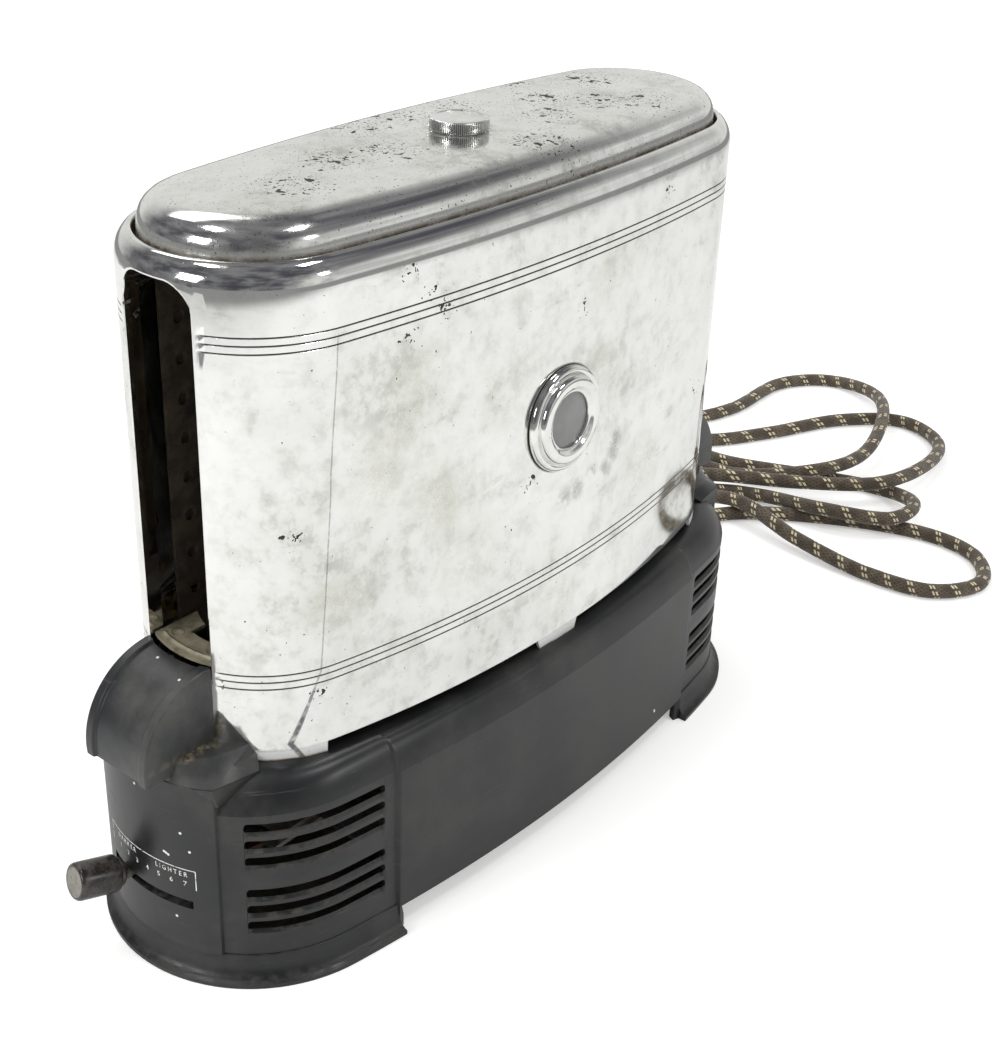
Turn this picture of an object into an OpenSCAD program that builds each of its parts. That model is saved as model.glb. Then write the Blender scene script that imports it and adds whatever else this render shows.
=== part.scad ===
// Walk-through bread toaster of the 1930s: pressed, plated steel body on a moulded black base.
// Millimetres. X runs along the bread's path, the knob end at minus X, Z is up and the ground is z = 0.

/* [Body shell] */
// Length of the plated body over its two rounded ends.
shell_l = 270; // [268:0.5:271]
// Width of the body at its lower edge.
shell_foot_w = 106.4; // [105:0.2:108]
// Width of the body where the wall turns in at the top.
shell_top_w = 95; // [94:0.5:97]
// Radius of the two rounded ends of the body.
shell_end_r = 42; // [41.5:0.1:42.2]
// Thickness of the steel sheet of body and cover.
sheet = 1.2; // [1:0.1:1.3]
// Height of the upper end of the straight wall above the ground.
wall_top_z = 240; // [239:0.5:241]

/* [Bread slot] */
// Half the width of the slot in each rounded end.
slot_half = 14.5; // [14:0.1:14.8]
// Height of the sill of the slot.
sill_z = 109; // [108:0.5:109.5]
// Height of the slot's upper edge.
slot_top_z = 241; // [240:0.25:241.2]
// Radius of the slot's upper corners.
slot_corner = 9; // [6:0.5:12]

/* [Top cover] */
// Height of the flat top of the cover above the body's upper wall edge.
cover_rise = 18.5; // [17:0.5:20]
// Diameter of the thumbscrew's head.
thumb_d = 20.6; // [16:0.2:24]
// Thickness of the thumbscrew's head.
thumb_t = 4.3; // [3:0.1:6]

/* [Window] */
// Height of the middle of the round window.
window_z = 168.1; // [150:0.5:185]
// Outer diameter of the window's bezel.
bezel_d = 38; // [37:0.5:42]

/* [Base] */
// Length of the base's wall over both ends.
base_l = 304; // [303:0.5:306]
// Width of the base's wall at the middle.
base_w = 120; // [119:0.5:121]
// Radius of the two ends of the base.
base_end_r = 51.5; // [51:0.1:52]
// How far the side and end panels stand out of the wall.
panel_out = 1.5; // [1:0.1:2]
// How far the foot at each end spreads out at the ground.
foot_out = 5; // [3:0.5:7]
// Thickness of the moulded walls of the base.
base_wall = 3; // [2.5:0.1:3.2]
// Height of one louvre slot.
louvre_h = 4; // [3:0.1:4.4]

/* [Walking beam] */
// Throw of the two eccentrics that carry the beam.
throw = 4; // [3:0.1:4]
// Length of one tooth of the beam.
tooth_pitch = 8; // [5:1:12]
// Height of one tooth of the beam.
tooth_h = 3; // [2:0.1:3.5]

/* [Gears] */
// Module of the three reduction stages.
gear_module = 0.8; // [0.8:0.01:0.8]
// Number of teeth of each wheel.
wheel_teeth = 48; // [48:1:48]
// Number of teeth of each pinion.
pinion_teeth = 12; // [12:1:12]

/* [Control lever] */
// Diameter of the turned knob.
knob_d = 13; // [10:0.5:15]
// Length of the turned knob.
knob_l = 15; // [12:0.5:20]

/* [Supply cord] */
// Outside diameter of the braided cord.
cord_d = 7.2; // [6.5:0.1:7.2]

/* [Hidden] */
// Steps of every quarter-turn arc at the ends and of the long side arcs.
end_steps = 24;
side_steps = 16;

// Heights of the body.
shell_z = 80;
cutout_z = 84;
lip_z = wall_top_z + 8;
ledge_z = wall_top_z + 4;
cover_top_z = wall_top_z + cover_rise;
// Half the width of the middle tab on the body's lower edge, and where its cut-outs end.
tab_half = 9.5;
cutout_end = 108;
// Where the centre of the body's rounded ends lies.
shell_cx = shell_l / 2 - shell_end_r;
// Lean of the side wall, and its half width at the window.
lean = atan2((shell_foot_w - shell_top_w) / 2, wall_top_z - shell_z);
window_y = shell_foot_w / 2 - (window_z - shell_z) * tan(lean);
neck_r = 13.6;
lens_r = 12;

// Base: centre of the ends, heights of wall, shoulder and side edge.
base_cx = base_l / 2 - base_end_r;
wall_z = 69;
side_edge_z = 10.5;
foot_top_z = 11;
panel_x = 87.5;
end_panel_half = 28.4;
shoulder_in = 15;
shoulder_side_in = 5;
shoulder_end_in = 8;
flange_t = 2.5;
flange_w = 8;
// Screw posts between bottom plate and deck.
post_x = 84;
post_y = 45;
post_r = 5;
screw_r = 1.6;
plate_z = 12;
plate_t = 1.5;
deck_z = 42.5;
deck_top = deck_z + plate_t;
// Middle heights of the louvre slots, and the angles that they span about the end's centre.
louvre_z = [23.4, 30.2, 37, 50.4, 57.2, 64];
louvre_from = 221.8;
louvre_to = 278.4;

// Apron over the end panel: the barrel's axis, radius and half width.
barrel_x = 132.5;
barrel_z = 85.5;
barrel_r = 27.5;
barrel_half = 15;
barrel_rim = 4;

// Inner frame: inner face and thickness of the webs, floor of the bread passage.
web_y = 17;
web_t = 1.5;
frame_x = 118;
floor_x = 124;
floor_z = 113;
floor_gap = 6.5;
// Guard frames beside the bread.
guard_y = 16;
guard_top = 236;
guard_hole_z = 122.3;
guard_pitch = 13.7;
wire_r = 0.8;
// Heating elements and reflectors.
board_y = 23.5;
board_t = 1;
board_x = 103;
board_z = 126;
board_top = 226;
ribbon_t = 0.5;
reflector_y = 31;
reflector_t = 0.8;
reflector_z = 122;

// Cranks: axis, shaft, eccentric, and the beam's boss at rest.
crank_x = 95;
crank_z = 92;
shaft_r = 4;
eccentric_r = 9;
beam_half = 5;
beam_sheet = 1.6;
beam_x = 114;
beam_low = 80;
beam_top = 109;
boss_r = 13;
running = 0.05;
bush_r = 6.5;

// Gear train: pitch radii, distance and direction of the centres, planes along Y.
wheel_r = gear_module * wheel_teeth / 2;
pinion_r = gear_module * pinion_teeth / 2;
gear_distance = wheel_r + pinion_r;
gear_lean = -34;
gear_shift = 0.3;
backlash = 0.28;
pressure = 20;
plane_1 = 20.5;
plane_2 = 27;
plane_3 = 33;
gear_t = 4;
drive_t = 5;
gear_b_x = -crank_x + gear_distance * cos(gear_lean);
gear_b_z = crank_z + gear_distance * sin(gear_lean);
gear_a_x = gear_b_x + gear_distance * cos(gear_lean);
gear_a_z = gear_b_z + gear_distance * sin(gear_lean);
rotor_x = gear_a_x + gear_distance * cos(gear_lean);
rotor_z = gear_a_z + gear_distance * sin(gear_lean);
stud_r = 2.5;
// Motor.
stator_w = 44;
stator_low = 20;
stator_top = 70;
stator_half = 10;
bore_r = 12;
motor_shaft_r = 2;
motor_bush_r = 4.5;
// Motor bolts: distance along X from the rotor's axis, and height.
bolts = [[-17.7, 49.5], [17.7, 66]];

// Control lever: pivot, angle of the resting place, heights.
pivot_x = base_cx;
lever_rest = 10.9;
step_angle = 5.45;
lever_z = 30;
lever_t = 2;
lever_w = 6;
lever_slot_half = 20;
pivot_r = 3;
spigot_r = 1.6;
knob_lift = 13;
knob_root = 55.8;
knob_root_z = 31.6;
ferrule_l = 2.2;
ferrule_r = 5;

// Where the cord leaves the base, on the far end panel, and the sleeve there.
cord_r = cord_d / 2;
exit_z = 22;
exit_turn = 14;
sleeve_l = 21;
sleeve_hole_r = 5.4;
// Route of the cord's middle line on the ground: x, y and height. It rises where it crosses itself.
cord_route = [
    [196, 26, 17], [216, 34, 8], [252, 29, 3.6], [284, -9, 3.6], [305, -56, 3.6], [302, -88, 3.6],
    [278, -103, 3.6], [254, -88, 3.6], [248, -56, 3.6], [250, -16, 7], [257, 24, 11.4], [247, 58, 6],
    [224, 88, 3.6], [221, 122, 3.6], [248, 144, 3.6], [284, 143, 3.6], [311, 119, 3.6], [322, 86, 3.6],
    [356, 64, 3.6], [400, 43, 3.6], [424, 14, 3.6], [408, -16, 5], [366, -28, 10], [322, -22, 13.6],
    [298, 10, 11.8], [270, 53, 12], [240, 80, 11.4], [231, 108, 5], [254, 133, 3.6], [286, 127, 3.6],
    [303, 98, 3.6], [307, 60, 3.6], [324, 18, 3.6], [335, -18, 4], [320, -45, 10.2], [293, -44, 11.6],
    [279, -12, 11.6], [283, 26, 4.2], [269, 52, 3.6], [246, 78, 3.6], [249, 110, 3.6], [277, 117, 3.6],
    [293, 92, 3.6], [296, 50, 3.8], [318, 12, 11.2], [356, 4, 10.6], [404, 18, 12], [440, 42, 7.5],
    [449, 74, 3.6], [422, 97, 3.6], [372, 98, 3.6], [338, 110, 3.6], [327, 128, 3.7], [323.6, 141.8, 4.4],
    [322, 153, 7.5]
];
// Plug: where its narrow rear end lies, and its turn and rise.
plug_at = [322.8, 147.5, 6];
plug_turn = 98;
plug_rise = 15;

// Radius and half angle of the flat side arc that joins two end circles of radius r tangentially.
function side_radius(a, b, r) = (pow(a - r, 2) + b * b - r * r) / (2 * (b - r));
function side_angle(a, b, r) = atan2(a - r, side_radius(a, b, r) - b);
function arc_points(cx, cy, radius, from, to, steps) =
    [for (i = [0:steps - 1]) let (t = from + (to - from) * i / steps) [cx + radius * cos(t), cy + radius * sin(t)]];
// Plan outline with half length a, half width b and end radius r, counter-clockwise.
function oval_points(a, b, r) =
    let (s = side_radius(a, b, r), g = side_angle(a, b, r))
    concat(
        arc_points(a - r, 0, r, g - 90, 90 - g, end_steps),
        arc_points(0, b - s, s, 90 - g, 90 + g, side_steps),
        arc_points(r - a, 0, r, 90 + g, 270 - g, end_steps),
        arc_points(0, s - b, s, 270 - g, 270 + g, side_steps));
function ring(size, z) = [for (p = oval_points(size[0], size[1], size[2])) [p[0], p[1], z]];
// The same outline moved inwards by a distance.
function inset(size, d) = [size[0] - d, size[1] - d, size[2] - d];
// Points of the side arc between plus and minus x, at one height.
function side_ring(size, x, steps, z) =
    let (s = side_radius(size[0], size[1], size[2]))
    [for (i = [0:steps]) let (px = x - 2 * x * i / steps) [px, size[1] - s + sqrt(s * s - px * px), z]];

// Belt through rings that run outside upwards and inside downwards, the last joined to the first.
module belt(rings) {
    n = len(rings[0]);
    m = len(rings);
    polyhedron(
        points = [for (k = rings) each k],
        faces = [for (i = [0:m - 1], j = [0:n - 1])
            let (a = i * n + j, b = ((i + 1) % m) * n + j, c = ((i + 1) % m) * n + (j + 1) % n, d = i * n + (j + 1) % n)
            each [[a, b, c], [a, c, d]]]);
}

// Dish through rings that run inside downwards and outside upwards, closed by the first and last ring.
module dish(rings) {
    n = len(rings[0]);
    m = len(rings);
    polyhedron(
        points = [for (k = rings) each k],
        faces = concat(
            [for (i = [0:m - 2], j = [0:n - 1])
                let (a = i * n + j, b = (i + 1) * n + j, c = (i + 1) * n + (j + 1) % n, d = i * n + (j + 1) % n)
                each [[a, b, c], [a, c, d]]],
            [[for (j = [0:n - 1]) j]],
            [[for (j = [0:n - 1]) m * n - 1 - j]]));
}

// Bar along a side arc: rings of open arcs, closed around the section and at both ends.
module bar(rings) {
    n = len(rings[0]);
    m = len(rings);
    polyhedron(
        points = [for (k = rings) each k],
        faces = concat(
            [for (i = [0:m - 1], j = [0:n - 2])
                let (a = i * n + j, b = ((i + 1) % m) * n + j)
                each [[a, b, b + 1], [a, b + 1, a + 1]]],
            [[for (i = [0:m - 1]) (m - 1 - i) * n]],
            [[for (i = [0:m - 1]) i * n + n - 1]]));
}

// Prism along X from x0 to x1, its outline given as y and z.
module along_x(x0, x1) {
    translate([x0, 0, 0])
        rotate([90, 0, 90])
            linear_extrude(x1 - x0)
                children();
}

// Prism along Y from y0 to y1, its outline given as x and z.
module along_y(y0, y1) {
    translate([0, y1, 0])
        rotate([90, 0, 0])
            linear_extrude(y1 - y0)
                children();
}

module rod_y(x, z, r, y0, y1, fn = 48) {
    translate([x, y1, z])
        rotate([90, 0, 0])
            cylinder(h = y1 - y0, r = r, $fn = fn);
}

module both_ends() {
    children();
    mirror([1, 0, 0]) children();
}

module both_sides() {
    children();
    mirror([0, 1, 0]) children();
}

// Base.

base_oval = [base_l / 2, base_w / 2, base_end_r];
inner_oval = inset(base_oval, base_wall);
seat_oval = [base_oval[0] - shoulder_in, base_oval[1] - shoulder_side_in, base_oval[2] - shoulder_end_in];
flange_oval = inset(seat_oval, flange_w);

// Outline and height on the rounded shoulder, at an angle from the wall at 0 to the flat top at 90.
function shoulder(size, low, high, angle) =
    ring([for (i = [0:2]) size[i] - [shoulder_in, shoulder_side_in, shoulder_end_in][i] * (1 - cos(angle))],
         low + (high - low) * sin(angle));
function side_shoulder(size, low, high, angle) =
    side_ring([for (i = [0:2]) size[i] - [shoulder_in, shoulder_side_in, shoulder_end_in][i] * (1 - cos(angle))],
              panel_x + 4, 12, low + (high - low) * sin(angle));

module base_wall_belt() {
    belt([
        ring(base_oval, 0),
        shoulder(base_oval, wall_z, shell_z, 0),
        shoulder(base_oval, wall_z, shell_z, 30),
        shoulder(base_oval, wall_z, shell_z, 60),
        shoulder(base_oval, wall_z, shell_z, 90),
        ring(flange_oval, shell_z),
        ring(flange_oval, shell_z - flange_t),
        shoulder(inner_oval, wall_z - flange_t, shell_z - flange_t, 90),
        shoulder(inner_oval, wall_z - flange_t, shell_z - flange_t, 55),
        shoulder(inner_oval, wall_z - flange_t, shell_z - flange_t, 25),
        ring(inner_oval, wall_z - flange_t),
        ring(inner_oval, 0)
    ]);
}

// Side panel that stands out of the wall and runs up over the shoulder.
module side_panel() {
    out = inset(base_oval, -panel_out);
    in = inset(base_oval, panel_out);
    intersection() {
        bar([
            side_ring(out, panel_x + 4, 12, side_edge_z - 2),
            side_shoulder(out, wall_z + 0.6, shell_z, 0),
            side_shoulder(out, wall_z + 0.6, shell_z, 30),
            side_shoulder(out, wall_z + 0.6, shell_z, 60),
            side_shoulder(out, wall_z + 0.6, shell_z, 88),
            side_shoulder(in, wall_z - 1, shell_z - 1.2, 88),
            side_shoulder(in, wall_z - 1, shell_z - 1.2, 60),
            side_shoulder(in, wall_z - 1, shell_z - 1.2, 30),
            side_shoulder(in, wall_z - 1, shell_z - 1.2, 0),
            side_ring(in, panel_x + 4, 12, side_edge_z - 2)
        ]);
        translate([-panel_x, 0, side_edge_z]) cube([2 * panel_x, base_w, shell_z]);
    }
}

// Panel on each end, of the same round as the wall, with rounded upper corners.
module end_panel() {
    corner = 6;
    intersection() {
        translate([-base_cx, 0, foot_top_z])
            difference() {
                cylinder(h = shell_z - foot_top_z, r = base_end_r + panel_out, $fn = 144);
                translate([0, 0, -1]) cylinder(h = 72 - foot_top_z + 1, r = base_end_r - 2, $fn = 144);
                translate([0, 0, -1]) cylinder(h = shell_z, r = base_end_r - 12, $fn = 144);
            }
        along_x(-base_l / 2 - 5, -base_cx - 20) {
            translate([-end_panel_half, 0]) square([2 * end_panel_half, shell_z - corner]);
            translate([corner - end_panel_half, 0]) square([2 * (end_panel_half - corner), shell_z]);
            for (s = [-1, 1])
                translate([s * (end_panel_half - corner), shell_z - corner]) circle(r = corner, $fn = 48);
        }
    }
}

// Foot that spreads out around each end.
module foot() {
    n = 4;
    difference() {
        belt(concat(
            [for (i = [0:n]) let (t = 90 * i / n) ring(inset(base_oval, foot_out * (sin(t) - 1)),
                i == 0 ? 0 : 2 + (foot_top_z - 2) * (1 - cos(t)) * 0.98)],
            [ring(inset(base_oval, 1.2), foot_top_z), ring(inset(base_oval, 1.4), 0)]));
        translate([-panel_x - 0.5, -base_w, -1]) cube([2 * panel_x + 1, 2 * base_w, foot_top_z + 3]);
    }
}

// Gusset that carries the apron's wing beside the end panel.
module gusset() {
    hull() {
        translate([0, 0, shell_z - 0.5])
            linear_extrude(0.5)
                polygon([[-149.2, 21.5], [-147.4, 25.6], [-145.6, 28.4], [-128, 31.5], [-128, 24], [-136, 20]]);
        translate([-144.2, 28.4, 73.6]) cylinder(h = 0.5, r = 0.8, $fn = 16);
        translate([-138, 27, 73.6]) cylinder(h = 0.5, r = 1, $fn = 16);
    }
}

module louvre_cutters() {
    reach = base_end_r + 12;
    for (z = louvre_z)
        translate([-base_cx, 0, z - louvre_h / 2])
            linear_extrude(louvre_h)
                polygon([
                    44 * [cos(louvre_from), sin(louvre_from)],
                    reach * [cos(louvre_from), sin(louvre_from)],
                    (reach + 6) * [cos(250), sin(250)],
                    reach * [cos(louvre_to), sin(louvre_to)],
                    44 * [cos(louvre_to), sin(louvre_to)]
                ]);
}

// Hollow screw post with a rib to the side wall.
module screw_post() {
    translate([post_x, post_y, plate_z + plate_t])
        cylinder(h = deck_z - plate_z - plate_t, r = post_r, $fn = 48);
    translate([post_x - 1.5, post_y, plate_z + plate_t])
        cube([3, 8, deck_z - plate_z - plate_t - 2]);
}

// Turns an axis along Z so that it points out of the far end panel where the cord leaves.
module at_exit() {
    translate([base_cx, 0, exit_z])
        rotate([0, 0, exit_turn])
            translate([base_end_r + panel_out, 0, 0])
                rotate([0, 90, 0])
                    children();
}

module base_housing() {
    color("#232323")
    difference() {
        union() {
            base_wall_belt();
            both_sides() side_panel();
            both_ends() end_panel();
            foot();
            both_ends() both_sides() gusset();
            both_ends() both_sides() screw_post();
        }
        translate([-panel_x - 0.5, -base_w, -1]) cube([2 * panel_x + 1, 2 * base_w, side_edge_z + 1]);
        both_ends() both_sides() louvre_cutters();
        both_ends() both_sides()
            translate([post_x, post_y, plate_z]) cylinder(h = deck_z, r = screw_r, $fn = 32);
        translate([-base_l / 2 - 5, -lever_slot_half, lever_z - 0.8]) cube([20, 2 * lever_slot_half, 3.4]);
        at_exit() translate([0, 0, -8]) cylinder(h = 12, r = sleeve_hole_r, $fn = 48);
    }
}

module bottom_plate() {
    color("#4a4844")
    translate([0, 0, plate_z])
        linear_extrude(plate_t)
            difference() {
                polygon(oval_points(inner_oval[0] - 0.2, inner_oval[1] - 0.2, inner_oval[2] - 0.2));
                for (x = [-post_x, post_x], y = [-post_y, post_y])
                    translate([x, y]) circle(r = screw_r, $fn = 32);
                for (x = [-60:15:60])
                    translate([x - 3, 22]) square([6, 14]);
                for (x = [-60:15:60])
                    translate([x - 3, -36]) square([6, 14]);
            }
}

module deck_plate() {
    color("#8d8b84")
    translate([0, 0, deck_z])
        linear_extrude(plate_t)
            difference() {
                union() {
                    square([244, 60], center = true);
                    square([200, 97], center = true);
                }
                for (x = [-post_x, post_x], y = [-post_y, post_y])
                    translate([x, y]) circle(r = screw_r, $fn = 32);
                translate([rotor_x - stator_w / 2 - 1, -15.5]) square([stator_w + 2, 31]);
                translate([10, -12]) square([36, 24]);
            }
}

module case_screws() {
    color("#b5b2a8")
    for (x = [-post_x, post_x], y = [-post_y, post_y])
        translate([x, y, 0]) {
            difference() {
                translate([0, 0, plate_z - 2]) cylinder(h = 2, r = 3.4, $fn = 32);
                translate([-4, -0.4, plate_z - 3]) cube([8, 0.8, 1.8]);
            }
            translate([0, 0, plate_z - 0.5]) cylinder(h = 13, r = screw_r, $fn = 32);
            difference() {
                translate([0, 0, deck_top]) cylinder(h = 2, r = 3.4, $fn = 32);
                translate([-4, -0.4, deck_top + 1.2]) cube([8, 0.8, 2]);
            }
            translate([0, 0, deck_top - 12]) cylinder(h = 12.5, r = screw_r, $fn = 32);
        }
}

// Half barrel over the end panel, with a raised rim on both edges and a wing on each side.
module apron() {
    under_z = 82;
    difference() {
        union() {
            intersection() {
                union() {
                    rod_y(-barrel_x, barrel_z, barrel_r, -barrel_half, barrel_half, 120);
                    for (s = [-1, 1])
                        rod_y(-barrel_x, barrel_z, barrel_r + 1,
                              s * (barrel_half - barrel_rim / 2) - barrel_rim / 2,
                              s * (barrel_half - barrel_rim / 2) + barrel_rim / 2, 120);
                }
                translate([-170, -20, under_z]) cube([60, 40, 40]);
            }
            intersection() {
                translate([-base_cx, 0, shell_z])
                    cylinder(h = under_z - shell_z + 1, r = base_end_r + panel_out, $fn = 144);
                translate([-160, -barrel_half, shell_z]) cube([40, 2 * barrel_half, 3.5]);
            }
            both_sides()
                hull() {
                    translate([0, 0, 86.2])
                        linear_extrude(0.8)
                            polygon([[-149, 14.5], [-145.5, 18.6], [-139, 22.4], [-132, 24.6], [-125.5, 25.4], [-118, 14.5]]);
                    translate([0, 0, shell_z])
                        linear_extrude(0.5)
                            polygon([[-152, 14.5], [-150.7, 18.4], [-149.2, 21.9], [-147.4, 25.6], [-145.6, 28.4],
                                     [-128, 31.5], [-118, 14.5]]);
                }
        }
        translate([-shell_cx, 0, shell_z - 1]) cylinder(h = 50, r = shell_end_r, $fn = 144);
        intersection() {
            rod_y(-barrel_x, barrel_z, barrel_r - 2.5, 2.5 - barrel_half, barrel_half - 2.5, 96);
            translate([-170, -20, under_z + 1.5]) cube([60, 40, 40]);
        }
    }
}

module near_apron() {
    color("#2a2a29") apron();
}

module far_apron() {
    color("#2a2a29") mirror([1, 0, 0]) apron();
}

// Inner frame.

module bearing_holes() {
    for (x = [-crank_x, crank_x])
        translate([x, crank_z]) circle(r = bush_r, $fn = 48);
    translate([rotor_x, rotor_z]) circle(r = motor_bush_r, $fn = 48);
    for (b = bolts)
        translate([rotor_x + b[0], b[1]]) circle(r = screw_r, $fn = 32);
}

module side_frame() {
    along_y(web_y, web_y + web_t)
        difference() {
            translate([-frame_x, deck_top]) square([2 * frame_x, floor_z - deck_top]);
            bearing_holes();
            for (x = [0, 36]) translate([x, 62]) square([26, 33]);
            translate([-20, 82]) square([16, 18]);
        }
    translate([-floor_x, floor_gap, floor_z - web_t]) cube([2 * floor_x, web_y + web_t - floor_gap, web_t]);
    translate([-frame_x, web_y, deck_top]) cube([2 * frame_x, 11, web_t]);
}

module side_frame_front() {
    color("#9a978e") mirror([0, 1, 0]) side_frame();
}

module side_frame_rear() {
    color("#9a978e") side_frame();
}

module bush(x, z, outer, bore) {
    difference() {
        union() {
            rod_y(x, z, outer, web_y - 1, web_y + web_t + 1.2);
            rod_y(x, z, outer + 1.8, web_y - 2, web_y);
        }
        rod_y(x, z, bore, web_y - 3, web_y + web_t + 3);
    }
}

module bearing_bushes() {
    color("#b08d4f")
    both_sides() {
        for (x = [-crank_x, crank_x]) bush(x, crank_z, bush_r, shaft_r + running);
        bush(rotor_x, rotor_z, motor_bush_r, motor_shaft_r + running);
    }
}

// Studs on the rear frame that carry the two reduction gears.
module gear_studs() {
    color("#a9a69e") {
        rod_y(gear_b_x, gear_b_z, stud_r + 2.5, web_y + web_t, plane_1 - 0.4);
        rod_y(gear_b_x, gear_b_z, stud_r, web_y + web_t, plane_2 + gear_t + 1.6);
        rod_y(gear_b_x, gear_b_z, stud_r + 1.3, plane_2 + gear_t + 0.4, plane_2 + gear_t + 1.6);
        rod_y(gear_a_x, gear_a_z, stud_r + 2.5, web_y + web_t, plane_2 - 0.4);
        rod_y(gear_a_x, gear_a_z, stud_r, web_y + web_t, plane_3 + gear_t + 1.6);
        rod_y(gear_a_x, gear_a_z, stud_r + 1.3, plane_3 + gear_t + 0.4, plane_3 + gear_t + 1.6);
    }
}

// Gears.

function inv(a) = tan(a) - a * PI / 180;
// Half the angle of one tooth at a radius.
function half_tooth(r, x, rb, radius) =
    (gear_module * (PI / 2 + 2 * x * tan(pressure)) - backlash / 2) / (2 * r) * 180 / PI
    + (inv(pressure) - inv(acos(min(1, rb / radius)))) * 180 / PI;
function gear_points(teeth, x) =
    let (r = gear_module * teeth / 2, rb = r * cos(pressure), ra = r + gear_module * (1 + x),
         rf = r - gear_module * (1.25 - x), low = max(rb, rf), n = 4)
    [for (k = [0:teeth - 1])
        let (c = 360 * k / teeth)
        each concat(
            rf < rb ? [rf * [cos(c - half_tooth(r, x, rb, rb)), sin(c - half_tooth(r, x, rb, rb))]] : [],
            [for (i = [0:n]) let (q = low + (ra - low) * i / n, h = half_tooth(r, x, rb, q)) q * [cos(c - h), sin(c - h)]],
            [for (i = [0:n]) let (q = ra - (ra - low) * i / n, h = half_tooth(r, x, rb, q)) q * [cos(c + h), sin(c + h)]],
            rf < rb ? [rf * [cos(c + half_tooth(r, x, rb, rb)), sin(c + half_tooth(r, x, rb, rb))]] : [])];

// Gear about an axis along Y, one tooth pointing at an angle in the X-Z plane.
module gear(x, z, teeth, shift, angle, y0, t) {
    translate([x, y0 + t, z])
        rotate([90, 0, 0])
            linear_extrude(t)
                rotate(angle) polygon(gear_points(teeth, shift));
}

module wheel(x, z, y0, t) {
    gear(x, z, wheel_teeth, -gear_shift, gear_lean, y0, t);
}

module pinion(x, z, y0, t) {
    gear(x, z, pinion_teeth, gear_shift, gear_lean + 180 + 180 / pinion_teeth, y0, t);
}

module wheel_holes(x, z, y0, t) {
    for (a = [0:60:300])
        rod_y(x + 12.4 * cos(a), z + 12.4 * sin(a), 3.2, y0 - 1, y0 + t + 1, 32);
}

module drive_shaft() {
    color("#b9b7b0") {
        rod_y(-crank_x, crank_z, shaft_r, -web_y - web_t - 3.3, plane_1 + drive_t + 1);
        rod_y(-crank_x, crank_z - throw, eccentric_r, -beam_half, beam_half, 96);
        rod_y(-crank_x, crank_z, shaft_r + 2, -web_y - web_t - 3.3, -web_y - web_t - 1.8);
    }
}

module drive_gear() {
    color("#9c9484")
    difference() {
        wheel(-crank_x, crank_z, plane_1, drive_t);
        rod_y(-crank_x, crank_z, shaft_r, plane_1 - 1, plane_1 + drive_t + 1);
        wheel_holes(-crank_x, crank_z, plane_1, drive_t);
    }
}

module idler_crank() {
    color("#b9b7b0") {
        rod_y(crank_x, crank_z, shaft_r, -web_y - web_t - 3.3, web_y + web_t + 3.3);
        rod_y(crank_x, crank_z - throw, eccentric_r, -beam_half, beam_half, 96);
        both_sides() rod_y(crank_x, crank_z, shaft_r + 2, web_y + web_t + 1.8, web_y + web_t + 3.3);
    }
}

module reduction_gear(x, z, first, first_t, second) {
    difference() {
        union() {
            pinion(x, z, first, first_t);
            rod_y(x, z, 4, first + first_t - 0.5, second + 0.5);
            wheel(x, z, second, gear_t);
        }
        rod_y(x, z, stud_r + running, first - 1, second + gear_t + 1);
        wheel_holes(x, z, second, gear_t);
    }
}

module reduction_gear_b() {
    color("#a8925c") reduction_gear(gear_b_x, gear_b_z, plane_1, drive_t, plane_2);
}

module reduction_gear_a() {
    color("#a8925c") reduction_gear(gear_a_x, gear_a_z, plane_2, gear_t, plane_3);
}

// Two toothed plates with a round boss at each end, joined by cross bars.
module walking_beam() {
    n = floor((2 * beam_x) / tooth_pitch);
    saw = [for (i = [0:n - 1]) each [
        [-beam_x + i * tooth_pitch, beam_top - tooth_h], [-beam_x + (i + 0.75) * tooth_pitch, beam_top]]];
    color("#8f8c83")
    difference() {
        union() {
            both_sides()
                along_y(beam_half - beam_sheet, beam_half)
                    difference() {
                        polygon(concat([[beam_x, beam_low + 8], [crank_x, beam_low], [-crank_x, beam_low],
                                        [-beam_x, beam_low + 8]], saw, [[beam_x, beam_top - tooth_h]]));
                        for (x = [-64:32:64])
                            translate([x - 11, beam_low + 7]) square([22, 13]);
                    }
            for (x = [-crank_x, crank_x])
                rod_y(x, crank_z - throw, boss_r, -beam_half, beam_half, 96);
            for (x = [-48, -16, 16, 48])
                rod_y(x, beam_low + 13, 2.5, -beam_half + 0.5, beam_half - 0.5, 32);
        }
        for (x = [-crank_x, crank_x])
            rod_y(x, crank_z - throw, eccentric_r + running, -beam_half - 1, beam_half + 1, 96);
    }
}

// Motor.

module motor_stator() {
    color("#6b6964")
    along_y(-stator_half, stator_half)
        difference() {
            translate([rotor_x - stator_w / 2, stator_low]) square([stator_w, stator_top - stator_low]);
            translate([rotor_x, rotor_z]) circle(r = bore_r, $fn = 72);
            translate([rotor_x - 11.7, stator_low + 10]) square([23.4, 12]);
            for (b = bolts)
                translate([rotor_x + b[0], b[1]]) circle(r = screw_r, $fn = 32);
        }
}

module motor_coil() {
    color("#7a3d22")
    along_x(rotor_x - 11, rotor_x + 11)
        difference() {
            translate([-stator_half - 4.5, stator_low - 4.5]) square([2 * stator_half + 9, 19]);
            translate([-stator_half, stator_low]) square([2 * stator_half, 10]);
        }
}

// Two bolts with spacer tubes that hang the motor between the side frames.
module motor_bolts() {
    color("#a9a69e")
    for (b = bolts) {
        rod_y(rotor_x + b[0], b[1], screw_r, -web_y - web_t - 1, web_y + web_t + 1, 32);
        both_sides() rod_y(rotor_x + b[0], b[1], 3.4, stator_half, web_y, 32);
        both_sides() rod_y(rotor_x + b[0], b[1], 3, web_y + web_t, web_y + web_t + 1.6, 32);
    }
}

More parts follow.
